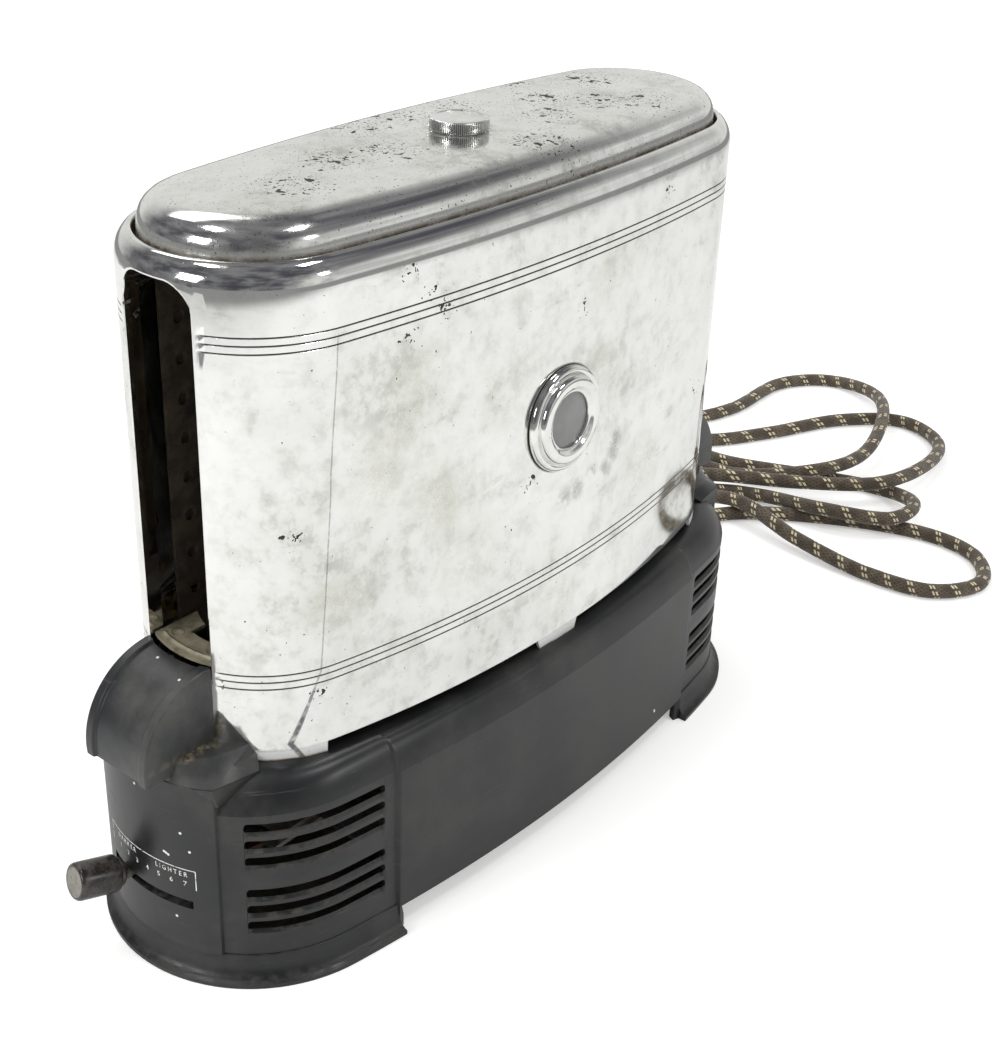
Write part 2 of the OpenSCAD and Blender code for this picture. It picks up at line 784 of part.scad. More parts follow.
module motor_rotor() {
    color("#7d7b75") {
        rod_y(rotor_x, rotor_z, bore_r - 0.4, -stator_half + 1, stator_half - 1, 72);
        rod_y(rotor_x, rotor_z, motor_shaft_r, -web_y - web_t - 2.5, plane_3 + gear_t + 0.8);
    }
}

module rotor_pinion() {
    color("#b08d4f")
    difference() {
        pinion(rotor_x, rotor_z, plane_3, gear_t);
        rod_y(rotor_x, rotor_z, motor_shaft_r, plane_3 - 1, plane_3 + gear_t + 1);
    }
}

// Toasting chamber.

module guard_frame() {
    difference() {
        union() {
            along_y(guard_y, guard_y + web_t)
                difference() {
                    translate([-frame_x, floor_z]) square([2 * frame_x, guard_top - floor_z]);
                    translate([-frame_x + 12, floor_z + 6]) square([2 * frame_x - 24, guard_top - floor_z - 12]);
                }
            for (x = [-96:24:96])
                translate([x, guard_y - 0.4, floor_z + 2]) cylinder(h = guard_top - floor_z - 4, r = wire_r, $fn = 24);
        }
        for (s = [-1, 1], k = [0:7])
            rod_y(s * 111, guard_hole_z + k * guard_pitch, 2.2, guard_y - 1, guard_y + web_t + 1, 32);
    }
}

module guard_frame_front() {
    color("#5a4f42") mirror([0, 1, 0]) guard_frame();
}

module guard_frame_rear() {
    color("#5a4f42") guard_frame();
}

module element_board(window) {
    along_y(board_y, board_y + board_t)
        difference() {
            translate([-board_x, board_z]) square([2 * board_x, board_top - board_z]);
            if (window) translate([0, window_z]) circle(r = 14, $fn = 72);
        }
}

module element_board_front() {
    color("#c9b994") mirror([0, 1, 0]) element_board(true);
}

module element_board_rear() {
    color("#c9b994") element_board(false);
}

// Flat resistance ribbon laid to and fro on the bread side of the board.
module element_ribbon() {
    low = board_z + 6;
    high = board_top - 6;
    both_ends()
        translate([0, board_y - ribbon_t, 0])
            for (i = [0:9]) {
                translate([20 + i * 8, 0, low]) cube([2, ribbon_t, high - low]);
                if (i < 9)
                    translate([20 + i * 8, 0, i % 2 == 0 ? low : high - 2]) cube([10, ribbon_t, 2]);
            }
}

module element_ribbon_front() {
    color("#8a7f70") mirror([0, 1, 0]) element_ribbon();
}

module element_ribbon_rear() {
    color("#8a7f70") element_ribbon();
}

module reflector(window) {
    along_y(reflector_y, reflector_y + reflector_t)
        difference() {
            translate([-board_x, reflector_z]) square([2 * board_x, guard_top - reflector_z]);
            if (window) translate([0, window_z]) circle(r = 17, $fn = 72);
        }
}

module reflector_front() {
    color("#b3b1aa") mirror([0, 1, 0]) reflector(true);
}

module reflector_rear() {
    color("#b3b1aa") reflector(false);
}

// Angle brackets between the guard posts and the boards and reflectors.
module element_brackets() {
    color("#8d8b84")
    both_ends() both_sides()
        translate([0, 0, reflector_z])
            linear_extrude(guard_top - reflector_z) {
                translate([board_x, guard_y + web_t]) square([1.5, reflector_y + reflector_t - guard_y - web_t]);
                translate([board_x, guard_y + web_t]) square([13, 1.2]);
            }
}

// Sheet tongue between the slot and the beam, with a notch for the beam.
module slot_plate() {
    translate([0, 0, floor_z])
        linear_extrude(1.2)
            difference() {
                intersection() {
                    translate([-shell_cx, 0]) circle(r = shell_end_r - 2, $fn = 144);
                    translate([-shell_l / 2, -14.2]) square([15, 28.4]);
                }
                translate([-122.5, -6]) square([8, 12]);
                for (s = [-1, 1])
                    translate([-126, s * 8.5]) circle(r = 1.4, $fn = 32);
            }
}

module entry_plate() {
    color("#6f6a5b") slot_plate();
}

module exit_plate() {
    color("#6f6a5b") mirror([1, 0, 0]) slot_plate();
}

// Strap across the two guard frames, with the threaded boss for the thumbscrew.
module cover_bridge() {
    color("#8d8b84")
    difference() {
        union() {
            translate([-10, -guard_y - web_t, guard_top]) cube([20, 2 * (guard_y + web_t), 2]);
            translate([0, 0, guard_top + 1]) cylinder(h = 9, r = 6, $fn = 48);
        }
        translate([0, 0, guard_top - 1]) cylinder(h = 12, r = stud_r + running, $fn = 48);
    }
}

// Plated body.

foot_oval = [shell_l / 2, shell_foot_w / 2, shell_end_r];
top_oval = [shell_l / 2, shell_top_w / 2, shell_end_r];

module slot_outline(grow) {
    w = slot_half + grow;
    c = slot_corner + grow;
    translate([-w, sill_z - grow]) square([2 * w, slot_top_z - slot_corner - sill_z + grow]);
    translate([-(w - c), sill_z]) square([2 * (w - c), slot_top_z + grow - sill_z]);
    for (s = [-1, 1])
        translate([s * (w - c), slot_top_z - slot_corner]) circle(r = c, $fn = 64);
}

module body_shell() {
    color("#d3d5d8")
    difference() {
        union() {
            belt([
                ring(foot_oval, shell_z),
                ring(top_oval, wall_top_z),
                ring(inset(top_oval, 0.7), wall_top_z + 3.4),
                ring(inset(top_oval, 2.2), wall_top_z + 6),
                ring(inset(top_oval, 3.9), wall_top_z + 7.6),
                ring(inset(top_oval, 5), lip_z),
                ring(inset(top_oval, 5.9), lip_z - 0.6),
                ring(inset(top_oval, 6.1), ledge_z),
                ring(inset(top_oval, 10), ledge_z),
                ring(inset(top_oval, 10), ledge_z - sheet),
                ring(inset(top_oval, 4.9), ledge_z - sheet),
                ring(inset(top_oval, 4.6), lip_z - 1.8),
                ring(inset(top_oval, 2.9), lip_z - 3.1),
                ring(inset(top_oval, 1.75), lip_z - 5.4),
                ring(inset(top_oval, sheet), wall_top_z),
                ring(inset(foot_oval, sheet), shell_z)
            ]);
            both_ends()
                along_x(-131.8, -128.5)
                    difference() {
                        slot_outline(sheet);
                        slot_outline(0);
                    }
        }
        both_ends()
            along_x(-shell_l / 2 - 5, -126) slot_outline(0);
        along_y(-60, 60)
            for (s = [-1, 1])
                scale([s, 1])
                    polygon([[tab_half, shell_z - 1], [tab_half + 1, shell_z + 1.4], [tab_half + 3, cutout_z - 0.8],
                             [tab_half + 6, cutout_z], [cutout_end - 5, cutout_z], [cutout_end - 2, cutout_z - 0.7],
                             [cutout_end - 0.4, shell_z + 2], [cutout_end, shell_z - 1]]);
        at_window() translate([0, 0, -8]) cylinder(h = 12, r = neck_r + 0.1, $fn = 72);
    }
}

// Turns an axis along Z so that it points out of the side wall at the window.
module at_window() {
    translate([0, -window_y, window_z])
        rotate([90 - lean, 0, 0])
            children();
}

module window_bezel() {
    r = bezel_d / 2;
    color("#c9cbcf")
    at_window()
        rotate_extrude($fn = 96)
            polygon([[lens_r, -3.2], [neck_r, -3.2], [neck_r, 0.02], [r, 0.02], [r, 1.2], [r - 0.5, 2.2], [r - 1.5, 2.8],
                     [r - 2.6, 2.3], [r - 3, 1.8], [r - 3.2, 3.4], [r - 3.8, 4.3], [r - 5, 4.6], [r - 6.6, 4.6],
                     [r - 8, 3.6], [r - 9, 3.4], [r - 9, 2.4], [lens_r, 2.4]]);
}

module window_lens() {
    color("#6a6c6c")
    at_window()
        translate([0, 0, 0.4]) cylinder(h = 2, r = lens_r, $fn = 96);
}

module bezel_nut() {
    color("#a9a69e")
    at_window()
        translate([0, 0, -3.1])
            difference() {
                cylinder(h = 1.6, r = 18, $fn = 6);
                translate([0, 0, -1]) cylinder(h = 4, r = neck_r, $fn = 72);
            }
}

module top_cover() {
    low = ledge_z + 0.3;
    color("#c4c6c9")
    difference() {
        dish([
            ring(inset(top_oval, 19), cover_top_z - sheet),
            ring(inset(top_oval, 15.2), cover_top_z - sheet - 0.5),
            ring(inset(top_oval, 11.9), cover_top_z - sheet - 1.9),
            ring(inset(top_oval, 9.4), cover_top_z - sheet - 4.4),
            ring(inset(top_oval, 8.4), cover_top_z - sheet - 7.5),
            ring(inset(top_oval, 8.2), low),
            ring(inset(top_oval, 7), low),
            ring(inset(top_oval, 7.2), cover_top_z - 8.5),
            ring(inset(top_oval, 8.3), cover_top_z - 5),
            ring(inset(top_oval, 11), cover_top_z - 2.2),
            ring(inset(top_oval, 14.8), cover_top_z - 0.5),
            ring(inset(top_oval, 19), cover_top_z)
        ]);
        translate([0, 0, cover_top_z - 5]) cylinder(h = 10, r = stud_r + running, $fn = 48);
    }
}

module thumbscrew() {
    color("#bfc1c4")
    translate([0, 0, cover_top_z + running]) {
        cylinder(h = 0.6, r1 = thumb_d / 2 - 0.6, r2 = thumb_d / 2, $fn = 96);
        translate([0, 0, 0.6]) cylinder(h = thumb_t - 1.2, r = thumb_d / 2, $fn = 96);
        translate([0, 0, thumb_t - 0.6]) cylinder(h = 0.6, r1 = thumb_d / 2, r2 = thumb_d / 2 - 0.6, $fn = 96);
        translate([0, 0, -22]) cylinder(h = 22.5, r = stud_r, $fn = 48);
    }
}

// Control lever.

module lever_pivot() {
    color("#a9a69e")
    translate([-pivot_x, 0, 0]) {
        translate([0, 0, lever_z + 3.5]) cylinder(h = deck_z - lever_z - 3.5, r = 5, $fn = 48);
        translate([0, 0, lever_z - 1.3]) cylinder(h = 5, r = pivot_r, $fn = 48);
        translate([0, 0, lever_z - 2.8]) cylinder(h = 1.5, r = 5, $fn = 48);
    }
}

// Insulating plate under the deck that holds the speed taps.
module tap_plate() {
    color("#6b3f23")
    difference() {
        union() {
            translate([0, 0, lever_z + 4.5])
                linear_extrude(2)
                    polygon([[-106, -18], [-106, 18], [-118, 18], [-137, 15], [-141, 6], [-141, -6], [-137, -15], [-118, -18]]);
            both_sides()
                translate([-112, 13, lever_z + 6]) cylinder(h = deck_z - lever_z - 6, r = 3, $fn = 32);
        }
        tap_positions() cylinder(h = 10, r = 1.2, $fn = 32);
    }
}

module tap_positions() {
    for (k = [-3:3])
        translate([-pivot_x, 0, lever_z + 3.9])
            rotate([0, 0, k * step_angle])
                translate([-34, 0, 0])
                    children();
}

module tap_studs() {
    color("#b08d4f")
    tap_positions() cylinder(h = 3.4, r = 1.2, $fn = 32);
}

module at_lever() {
    translate([-pivot_x, 0, 0])
        rotate([0, 0, -lever_rest])
            children();
}

module at_knob() {
    at_lever()
        translate([-knob_root, 0, knob_root_z])
            rotate([0, -90 + knob_lift, 0])
                children();
}

module control_lever() {
    color("#8d8b84") {
        at_lever() {
            difference() {
                union() {
                    translate([0, 0, lever_z - 1]) cylinder(h = 4.2, r = 7, $fn = 64);
                    translate([-55, -lever_w / 2, lever_z]) cube([55, lever_w, lever_t]);
                }
                translate([0, 0, lever_z - 2]) cylinder(h = 8, r = pivot_r + running, $fn = 48);
            }
            translate([-34, 0, lever_z + 1]) cylinder(h = 2.4, r = 2, $fn = 32);
        }
        at_knob() translate([0, 0, -2.2]) cylinder(h = 12.2, r = spigot_r, $fn = 32);
    }
}

module knob_ferrule() {
    color("#4c4a46")
    at_knob()
        difference() {
            cylinder(h = ferrule_l, r = ferrule_r, $fn = 64);
            translate([0, 0, -1]) cylinder(h = 5, r = spigot_r, $fn = 32);
        }
}

module control_knob() {
    color("#2f2a26")
    at_knob()
        translate([0, 0, ferrule_l])
            difference() {
                union() {
                    cylinder(h = knob_l - 0.8, r = knob_d / 2, $fn = 96);
                    translate([0, 0, knob_l - 0.8]) cylinder(h = 0.8, r1 = knob_d / 2, r2 = knob_d / 2 - 0.8, $fn = 96);
                }
                translate([0, 0, -1]) cylinder(h = 8.8, r = spigot_r, $fn = 32);
            }
}

// Electrical connection.

module terminal_block() {
    color("#5b3a26")
    difference() {
        translate([62, -9, deck_top]) cube([30, 18, 12]);
        for (x = [70, 84]) {
            translate([x, 0, deck_top + 5]) cylinder(h = 10, r = 2.6, $fn = 32);
            translate([x - 3, -12, deck_top + 3]) cube([6, 8, 5]);
            translate([x - 3, 4, deck_top + 3]) cube([6, 8, 5]);
        }
    }
}

// Tapered rubber sleeve that leads the cord out of the end panel.
module cord_gland() {
    color("#2b2927")
    at_exit()
        rotate_extrude($fn = 48)
            polygon([[cord_r + running, -6], [sleeve_hole_r, -6], [sleeve_hole_r, 0.02], [8, 0.02], [8, 2], [6.8, 3],
                     [6.3, 8], [4.8, sleeve_l], [cord_r + running, sleeve_l]]);
}

// A point straight out of the exit at a distance from the panel.
function exit_point(d) = [base_cx + (base_end_r + panel_out + d) * cos(exit_turn),
                          (base_end_r + panel_out + d) * sin(exit_turn), exit_z];
// Smooth curve through points, n steps from one to the next, nowhere lower than the cord's radius.
function smooth(p, n) =
    let (q = concat([2 * p[0] - p[1]], p, [2 * p[len(p) - 1] - p[len(p) - 2]]))
    [for (i = [1:len(q) - 3], k = [0:(i == len(q) - 3 ? n : n - 1)])
        let (t = k / n,
             v = 0.5 * (2 * q[i] + (q[i + 1] - q[i - 1]) * t
                 + (2 * q[i - 1] - 5 * q[i] + 4 * q[i + 1] - q[i + 2]) * t * t
                 + (3 * q[i] - q[i - 1] - 3 * q[i + 1] + q[i + 2]) * t * t * t))
        [v[0], v[1], max(cord_r, v[2])]];
function unit(v) = v / norm(v);

cord_sides = 8;

// The cord as one tube around its middle line.
module supply_cord() {
    line = smooth(concat([for (d = [-10, 6, sleeve_l + 1, sleeve_l + 8]) exit_point(d)], cord_route), 2);
    m = len(line);
    rings = [for (i = [0:m - 1])
        let (t = unit(line[min(m - 1, i + 1)] - line[max(0, i - 1)]), u = unit(cross(t, [0, 0, 1])), w = cross(u, t))
        [for (j = [0:cord_sides - 1]) let (a = 360 * (j + 0.5) / cord_sides)
            line[i] + cord_r * (cos(a) * u + sin(a) * w)]];
    color("#4b4236")
    polyhedron(
        points = [for (k = rings) each k],
        faces = concat(
            [for (i = [0:m - 2], j = [0:cord_sides - 1])
                let (a = i * cord_sides + j, b = i * cord_sides + (j + 1) % cord_sides)
                each [[a, b, b + cord_sides], [a, b + cord_sides, a + cord_sides]]],
            [[for (j = [0:cord_sides - 1]) cord_sides - 1 - j]],
            [[for (j = [0:cord_sides - 1]) (m - 1) * cord_sides + j]]));
}

// Turns an axis along Z so that it runs through the plug from its rear end to its pins.
module at_plug() {
    translate(plug_at)
        rotate([0, 0, plug_turn])
            rotate([0, 90 - plug_rise, 0])
                children();
}

plug_l = 34;
plug_r = 13;

module plug_body() {
    color("#262422")
    difference() {
        at_plug()
            rotate_extrude($fn = 64)
                polygon([[0, 0], [5, 0], [5.6, 8], [8, 13], [12, 22], [plug_r, 27], [plug_r, 33], [12.4, plug_l],
                         [0, plug_l]]);
        at_plug() {
            translate([0, 0, -1]) cylinder(h = 7.4, r = cord_r + 0.3, $fn = 48);
            for (s = [-1, 1])
                translate([-3.2, s * 6.35 - 0.75, plug_l - 9]) cube([6.4, 1.5, 10]);
        }
    }
}

module plug_pins() {
    color("#b9a25f")
    at_plug()
        for (s = [-1, 1])
            difference() {
                translate([-3.2, s * 6.35 - 0.75, plug_l - 9]) cube([6.4, 1.5, 25]);
                translate([0, s * 6.35 + 2, plug_l + 12]) rotate([90, 0, 0]) cylinder(h = 4, r = 1.6, $fn = 32);
            }
}

base_housing();
bottom_plate();
deck_plate();
case_screws();
near_apron();
far_apron();
side_frame_front();
side_frame_rear();
bearing_bushes();
gear_studs();
drive_shaft();
drive_gear();
walking_beam();
idler_crank();
reduction_gear_b();
reduction_gear_a();
motor_stator();
motor_coil();
motor_bolts();
motor_rotor();
rotor_pinion();
guard_frame_front();
guard_frame_rear();
element_board_front();
element_board_rear();
element_ribbon_front();
element_ribbon_rear();
reflector_front();
reflector_rear();
element_brackets();
entry_plate();
exit_plate();
cover_bridge();
body_shell();
window_bezel();
window_lens();
bezel_nut();
top_cover();
thumbscrew();
lever_pivot();
tap_plate();
tap_studs();
control_lever();
knob_ferrule();
control_knob();
terminal_block();
cord_gland();
supply_cord();
plug_body();
plug_pins();
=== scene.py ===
"""Walk-through bread toaster of the 1930s: plated body on a moulded black base, with its braided supply cord."""

import math

import bmesh
import bpy
from mathutils import Matrix, Vector


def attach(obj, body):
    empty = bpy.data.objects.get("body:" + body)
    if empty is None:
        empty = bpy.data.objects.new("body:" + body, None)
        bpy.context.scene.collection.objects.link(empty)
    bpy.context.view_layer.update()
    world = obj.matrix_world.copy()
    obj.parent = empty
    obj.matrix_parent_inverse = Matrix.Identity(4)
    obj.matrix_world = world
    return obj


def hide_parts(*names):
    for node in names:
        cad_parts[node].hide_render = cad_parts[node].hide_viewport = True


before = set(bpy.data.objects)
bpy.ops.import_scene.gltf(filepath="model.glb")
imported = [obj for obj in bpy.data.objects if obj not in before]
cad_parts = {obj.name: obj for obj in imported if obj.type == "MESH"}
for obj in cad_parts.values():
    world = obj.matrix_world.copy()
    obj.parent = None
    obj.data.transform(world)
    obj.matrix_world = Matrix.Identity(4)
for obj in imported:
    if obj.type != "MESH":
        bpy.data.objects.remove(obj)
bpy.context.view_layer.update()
mm = 0.001


# The camera stands in front of the knob end, above the toaster, and looks down on it.
# Its place, turn and lens give the photograph's own view of the body's edges.
camera_data = bpy.data.cameras.new("photo_camera")
camera = bpy.data.objects.new("photo_camera", camera_data)
bpy.context.collection.objects.link(camera)
camera_right = Vector((0.64567698, -0.76309588, 0.0280343))
camera_up = Vector((0.34290424, 0.32255293, 0.88225637))
camera_ahead = Vector((0.68228874, 0.56003955, -0.46993381))
camera.matrix_world = (
    Matrix.Translation(Vector((-414.4, -355.0, 403.5)) * mm)
    @ Matrix((camera_right, camera_up, -camera_ahead)).transposed().to_4x4()
)
camera_data.sensor_fit = "HORIZONTAL"
camera_data.lens = camera_data.sensor_width * 1.64218
camera_data.shift_x = 0.01914
camera_data.shift_y = -0.01484
camera_data.clip_start = 0.01
bpy.context.scene.camera = camera


# Supply cord: two rubber-covered cores in a brown cotton braid with a pair of cream tracer threads.
# It leaves the far end of the base, is thrown in loose loops on the table and ends in its plug.
cord_r = 3.6 * mm
cord_turn = math.radians(14)
exit_z = 22 * mm


def exit_point(distance):
    """Point straight out of the cord's exit, at a distance from the end panel's face."""
    reach = 53 * mm + distance
    return Vector((100.5 * mm + reach * math.cos(cord_turn), reach * math.sin(cord_turn), exit_z))


cord_route = [
    (196, 26, 17), (216, 34, 8), (252, 29, 3.6), (284, -9, 3.6), (305, -56, 3.6), (302, -88, 3.6),
    (278, -103, 3.6), (254, -88, 3.6), (248, -56, 3.6), (250, -16, 7), (257, 24, 11.4), (247, 58, 6),
    (224, 88, 3.6), (221, 122, 3.6), (248, 144, 3.6), (284, 143, 3.6), (311, 119, 3.6), (322, 86, 3.6),
    (356, 64, 3.6), (400, 43, 3.6), (424, 14, 3.6), (408, -16, 5), (366, -28, 10), (322, -22, 13.6),
    (298, 10, 11.8), (270, 53, 12), (240, 80, 11.4), (231, 108, 5), (254, 133, 3.6), (286, 127, 3.6),
    (303, 98, 3.6), (307, 60, 3.6), (324, 18, 3.6), (335, -18, 4), (320, -45, 10.2), (293, -44, 11.6),
    (279, -12, 11.6), (283, 26, 4.2), (269, 52, 3.6), (246, 78, 3.6), (249, 110, 3.6), (277, 117, 3.6),
    (293, 92, 3.6), (296, 50, 3.8), (318, 12, 11.2), (356, 4, 10.6), (404, 18, 12), (440, 42, 7.5),
    (449, 74, 3.6), (422, 97, 3.6), (372, 98, 3.6), (338, 110, 3.6), (327, 128, 3.7), (323.6, 141.8, 4.4),
    (322, 153, 7.5),
]


def smooth_line(points, steps):
    """Smooth curve through points, nowhere lower than the cord's radius above the table."""
    ends = [2 * points[0] - points[1], *points, 2 * points[-1] - points[-2]]
    line = []
    for i in range(1, len(ends) - 2):
        a, b, c, d = ends[i - 1 : i + 3]
        for k in range(steps + 1 if i == len(ends) - 3 else steps):
            t = k / steps
            v = 0.5 * (2 * b + (c - a) * t + (2 * a - 5 * b + 4 * c - d) * t * t + (3 * b - a - 3 * c + d) * t**3)
            v.z = max(cord_r, v.z)
            line.append(v)
    return line


def wrap(name, rings, closed=True):
    """A flat grid laid through rings of points, one row a ring, and closed round each ring."""
    columns = len(rings[0]) + (1 if closed else 0)
    bpy.ops.object.select_all(action="DESELECT")
    bpy.ops.mesh.primitive_grid_add(x_subdivisions=columns - 1, y_subdivisions=len(rings) - 1, size=1)
    sheet = bpy.context.object
    sheet.name = name
    places = [c for ring in rings for i in range(columns) for c in ring[i % len(ring)]]
    sheet.data.vertices.foreach_set("co", places)
    sheet.data.update()
    bpy.ops.object.mode_set(mode="EDIT")
    bpy.ops.mesh.select_all(action="SELECT")
    bpy.ops.mesh.remove_doubles(threshold=0.002 * mm)
    bpy.ops.mesh.select_all(action="DESELECT")
    bpy.ops.object.mode_set(mode="OBJECT")
    return sheet


def only(piece):
    """Makes one object the selected and active one."""
    bpy.ops.object.select_all(action="DESELECT")
    piece.select_set(True)
    bpy.context.view_layer.objects.active = piece


def edit(piece, *steps):
    """Runs steps, which are functions, in edit mode on the whole mesh of a piece."""
    only(piece)
    bpy.ops.object.mode_set(mode="EDIT")
    bpy.ops.mesh.select_mode(type="FACE")
    bpy.ops.mesh.select_all(action="SELECT")
    for step in steps:
        step()
    bpy.ops.object.mode_set(mode="OBJECT")


def shade(piece, angle=35):
    only(piece)
    bpy.ops.object.shade_smooth_by_angle(angle=math.radians(angle))


def finished(piece, *kinds):
    """Adds modifiers, given as (kind, settings), and applies each in turn."""
    only(piece)
    for kind, settings in kinds:
        modifier = piece.modifiers.new(kind.lower(), kind)
        for key, value in settings.items():
            setattr(modifier, key, value)
        bpy.ops.object.modifier_apply(modifier=modifier.name)
    return piece


def close_ends(piece):
    """Fills every open rim of a mesh with one face, and turns all faces outwards."""
    edit(
        piece,
        lambda: bpy.ops.mesh.select_all(action="DESELECT"),
        lambda: bpy.ops.mesh.select_mode(type="EDGE"),
        lambda: bpy.ops.mesh.select_non_manifold(extend=False, use_wire=False, use_boundary=True,
                                                 use_multi_face=False, use_non_contiguous=False, use_verts=False),
        lambda: bpy.ops.mesh.fill_holes(sides=0),
        lambda: bpy.ops.mesh.select_all(action="SELECT"),
        lambda: bpy.ops.mesh.normals_make_consistent(inside=False),
    )


def material_named(name, **constants):
    """New material, its shader's constants set on the shader itself."""
    made = bpy.data.materials.new(name)
    made.use_nodes = True
    shader = made.node_tree.nodes["Principled BSDF"]
    for key, value in constants.items():
        shader.inputs[key.replace("_", " ")].default_value = value
    return made


def node(made, kind, inputs=None, out=0, **settings):
    """Adds a shader node; an input is a value or another node's output. Gives the node's output."""
    new = made.node_tree.nodes.new("ShaderNode" + kind)
    for key, value in settings.items():
        setattr(new, key, value)
    for key, value in (inputs or {}).items():
        if isinstance(value, bpy.types.NodeSocket):
            made.node_tree.links.new(value, new.inputs[key])
        else:
            new.inputs[key].default_value = value
    return new.outputs[out]


def to_shader(made, **sockets):
    shader = made.node_tree.nodes["Principled BSDF"]
    for key, value in sockets.items():
        made.node_tree.links.new(value, shader.inputs[key.replace("_", " ")])


def maths(made, operation, a, b=0.0, c=0.0):
    return node(made, "Math", {0: a, 1: b, 2: c}, operation=operation)


def between(made, value, low, high, to_low=0.0, to_high=1.0):
    """Value carried from one range to another, and held there."""
    return node(made, "MapRange", {0: value, 1: low, 2: high, 3: to_low, 4: to_high}, interpolation_type="SMOOTHSTEP")


def mixed(made, factor, a, b):
    """Colour a where the factor is 0 and colour b where it is 1."""
    colours = [v if isinstance(v, bpy.types.NodeSocket) else (*v, 1.0) for v in (a, b)]
    return node(made, "Mix", {0: factor, 6: colours[0], 7: colours[1]}, out=2, data_type="RGBA")


def noise(made, place, scale, detail=4.0, roughness=0.55):
    return node(made, "TexNoise", {"Vector": place, "Scale": scale, "Detail": detail, "Roughness": roughness})


def object_place(made, stretch=(1, 1, 1)):
    place = node(made, "TexCoord", out=3)
    if stretch == (1, 1, 1):
        return place
    return node(made, "Mapping", {"Vector": place, "Scale": stretch})


def near_points(made, place, points, inner, outer):
    """1 within the inner distance of any of the points, in millimetres, and 0 beyond the outer one."""
    found = None
    for point in points:
        distance = node(made, "VectorMath", {0: place, 1: Vector(point) * mm}, out=1, operation="DISTANCE")
        here = between(made, distance, outer * mm, inner * mm)
        found = here if found is None else maths(made, "MAXIMUM", found, here)
    return found


def bump(made, height, strength, distance):
    return node(made, "Bump", {"Strength": strength, "Distance": distance, "Height": height})


cord_line = smooth_line(
    [exit_point(d * mm) for d in (-10, 6, 22, 29)] + [Vector(p) * mm for p in cord_route], 8
)
cord_sides = 16
cord_rings = []
for i, point in enumerate(cord_line):
    ahead = (cord_line[min(i + 1, len(cord_line) - 1)] - cord_line[max(i - 1, 0)]).normalized()
    across = ahead.cross(Vector((0, 0, 1))).normalized()
    above = across.cross(ahead)
    cord_rings.append([
        point + cord_r * (math.cos(2 * math.pi * j / cord_sides) * across + math.sin(2 * math.pi * j / cord_sides) * above)
        for j in range(cord_sides)
    ])
supply_cord = wrap("braided_cord", cord_rings)
close_ends(supply_cord)
shade(supply_cord, 60)

cord_length = sum((b - a).length for a, b in zip(cord_line, cord_line[1:]))
tracer_pitch = 12 * mm

braid = material_named("cotton_braid", Roughness=0.92, Sheen_Weight=0.25)
braid_uv = node(braid, "UVMap", uv_map="UVMap")
around_cord = node(braid, "SeparateXYZ", {0: braid_uv}, out=0)
along_cord = maths(braid, "MULTIPLY", node(braid, "SeparateXYZ", {0: braid_uv}, out=1), cord_length / tracer_pitch)
strand_a = maths(braid, "FRACT", node(braid, "Math", {0: around_cord, 1: 12.0, 2: maths(braid, "MULTIPLY", along_cord, 4.0)}, operation="MULTIPLY_ADD"))
strand_b = maths(braid, "FRACT", node(braid, "Math", {0: around_cord, 1: -12.0, 2: maths(braid, "MULTIPLY", along_cord, 4.0)}, operation="MULTIPLY_ADD"))
ridge_a = maths(braid, "PINGPONG", strand_a, 0.5)
ridge_b = maths(braid, "PINGPONG", strand_b, 0.5)
braid_relief = maths(braid, "MAXIMUM", ridge_a, ridge_b)
helix = maths(braid, "FRACT", maths(braid, "ADD", along_cord, around_cord))
first_thread = maths(braid, "LESS_THAN", maths(braid, "ABSOLUTE", maths(braid, "SUBTRACT", helix, 0.40)), 0.045)
second_thread = maths(braid, "LESS_THAN", maths(braid, "ABSOLUTE", maths(braid, "SUBTRACT", helix, 0.55)), 0.045)
on_top = maths(braid, "LESS_THAN", maths(braid, "FRACT", maths(braid, "MULTIPLY", around_cord, 7.0)), 0.58)
fleck = maths(braid, "MULTIPLY", maths(braid, "MAXIMUM", first_thread, second_thread), on_top)
braid_place = object_place(braid)
braid_wear = noise(braid, braid_place, 160.0)
braid_brown = mixed(braid, between(braid, braid_wear, 0.35, 0.7), (0.062, 0.047, 0.032), (0.125, 0.100, 0.066))
# Darker between the strands: painted shade in the braid's hollows.
braid_brown = mixed(braid, between(braid, braid_relief, 0.05, 0.4), (0.035, 0.027, 0.019), braid_brown)
thread_cream = mixed(braid, noise(braid, braid_place, 400.0), (0.50, 0.42, 0.26), (0.72, 0.64, 0.45))
to_shader(
    braid,
    Base_Color=mixed(braid, fleck, braid_brown, thread_cream),
    Normal=bump(braid, maths(braid, "ADD", braid_relief, maths(braid, "MULTIPLY", fleck, 0.4)), 0.6, 0.35 * mm),
)
supply_cord.data.materials.append(braid)
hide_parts("supply_cord")
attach(supply_cord, "frame")


# Strain relief: a tapered rubber sleeve with a collar, pushed through the end panel of the base.
# It is moulded in one piece and holds the cord by its narrow end.
def turned(name, profile, steps=96):
    """Profile of (radius, height) turned about the Z axis, closed at the axis or open in the middle."""
    rings = [
        [(r * mm * math.cos(2 * math.pi * j / steps), r * mm * math.sin(2 * math.pi * j / steps), z * mm) for j in range(steps)]
        for r, z in profile
    ]
    piece = wrap(name, rings)
    edit(piece, lambda: bpy.ops.mesh.normals_make_consistent(inside=False))
    return piece


def placed(piece, matrix):
    """Carries the mesh to its place and leaves the object at the origin."""
    piece.data.transform(matrix)
    piece.data.update()
    return piece


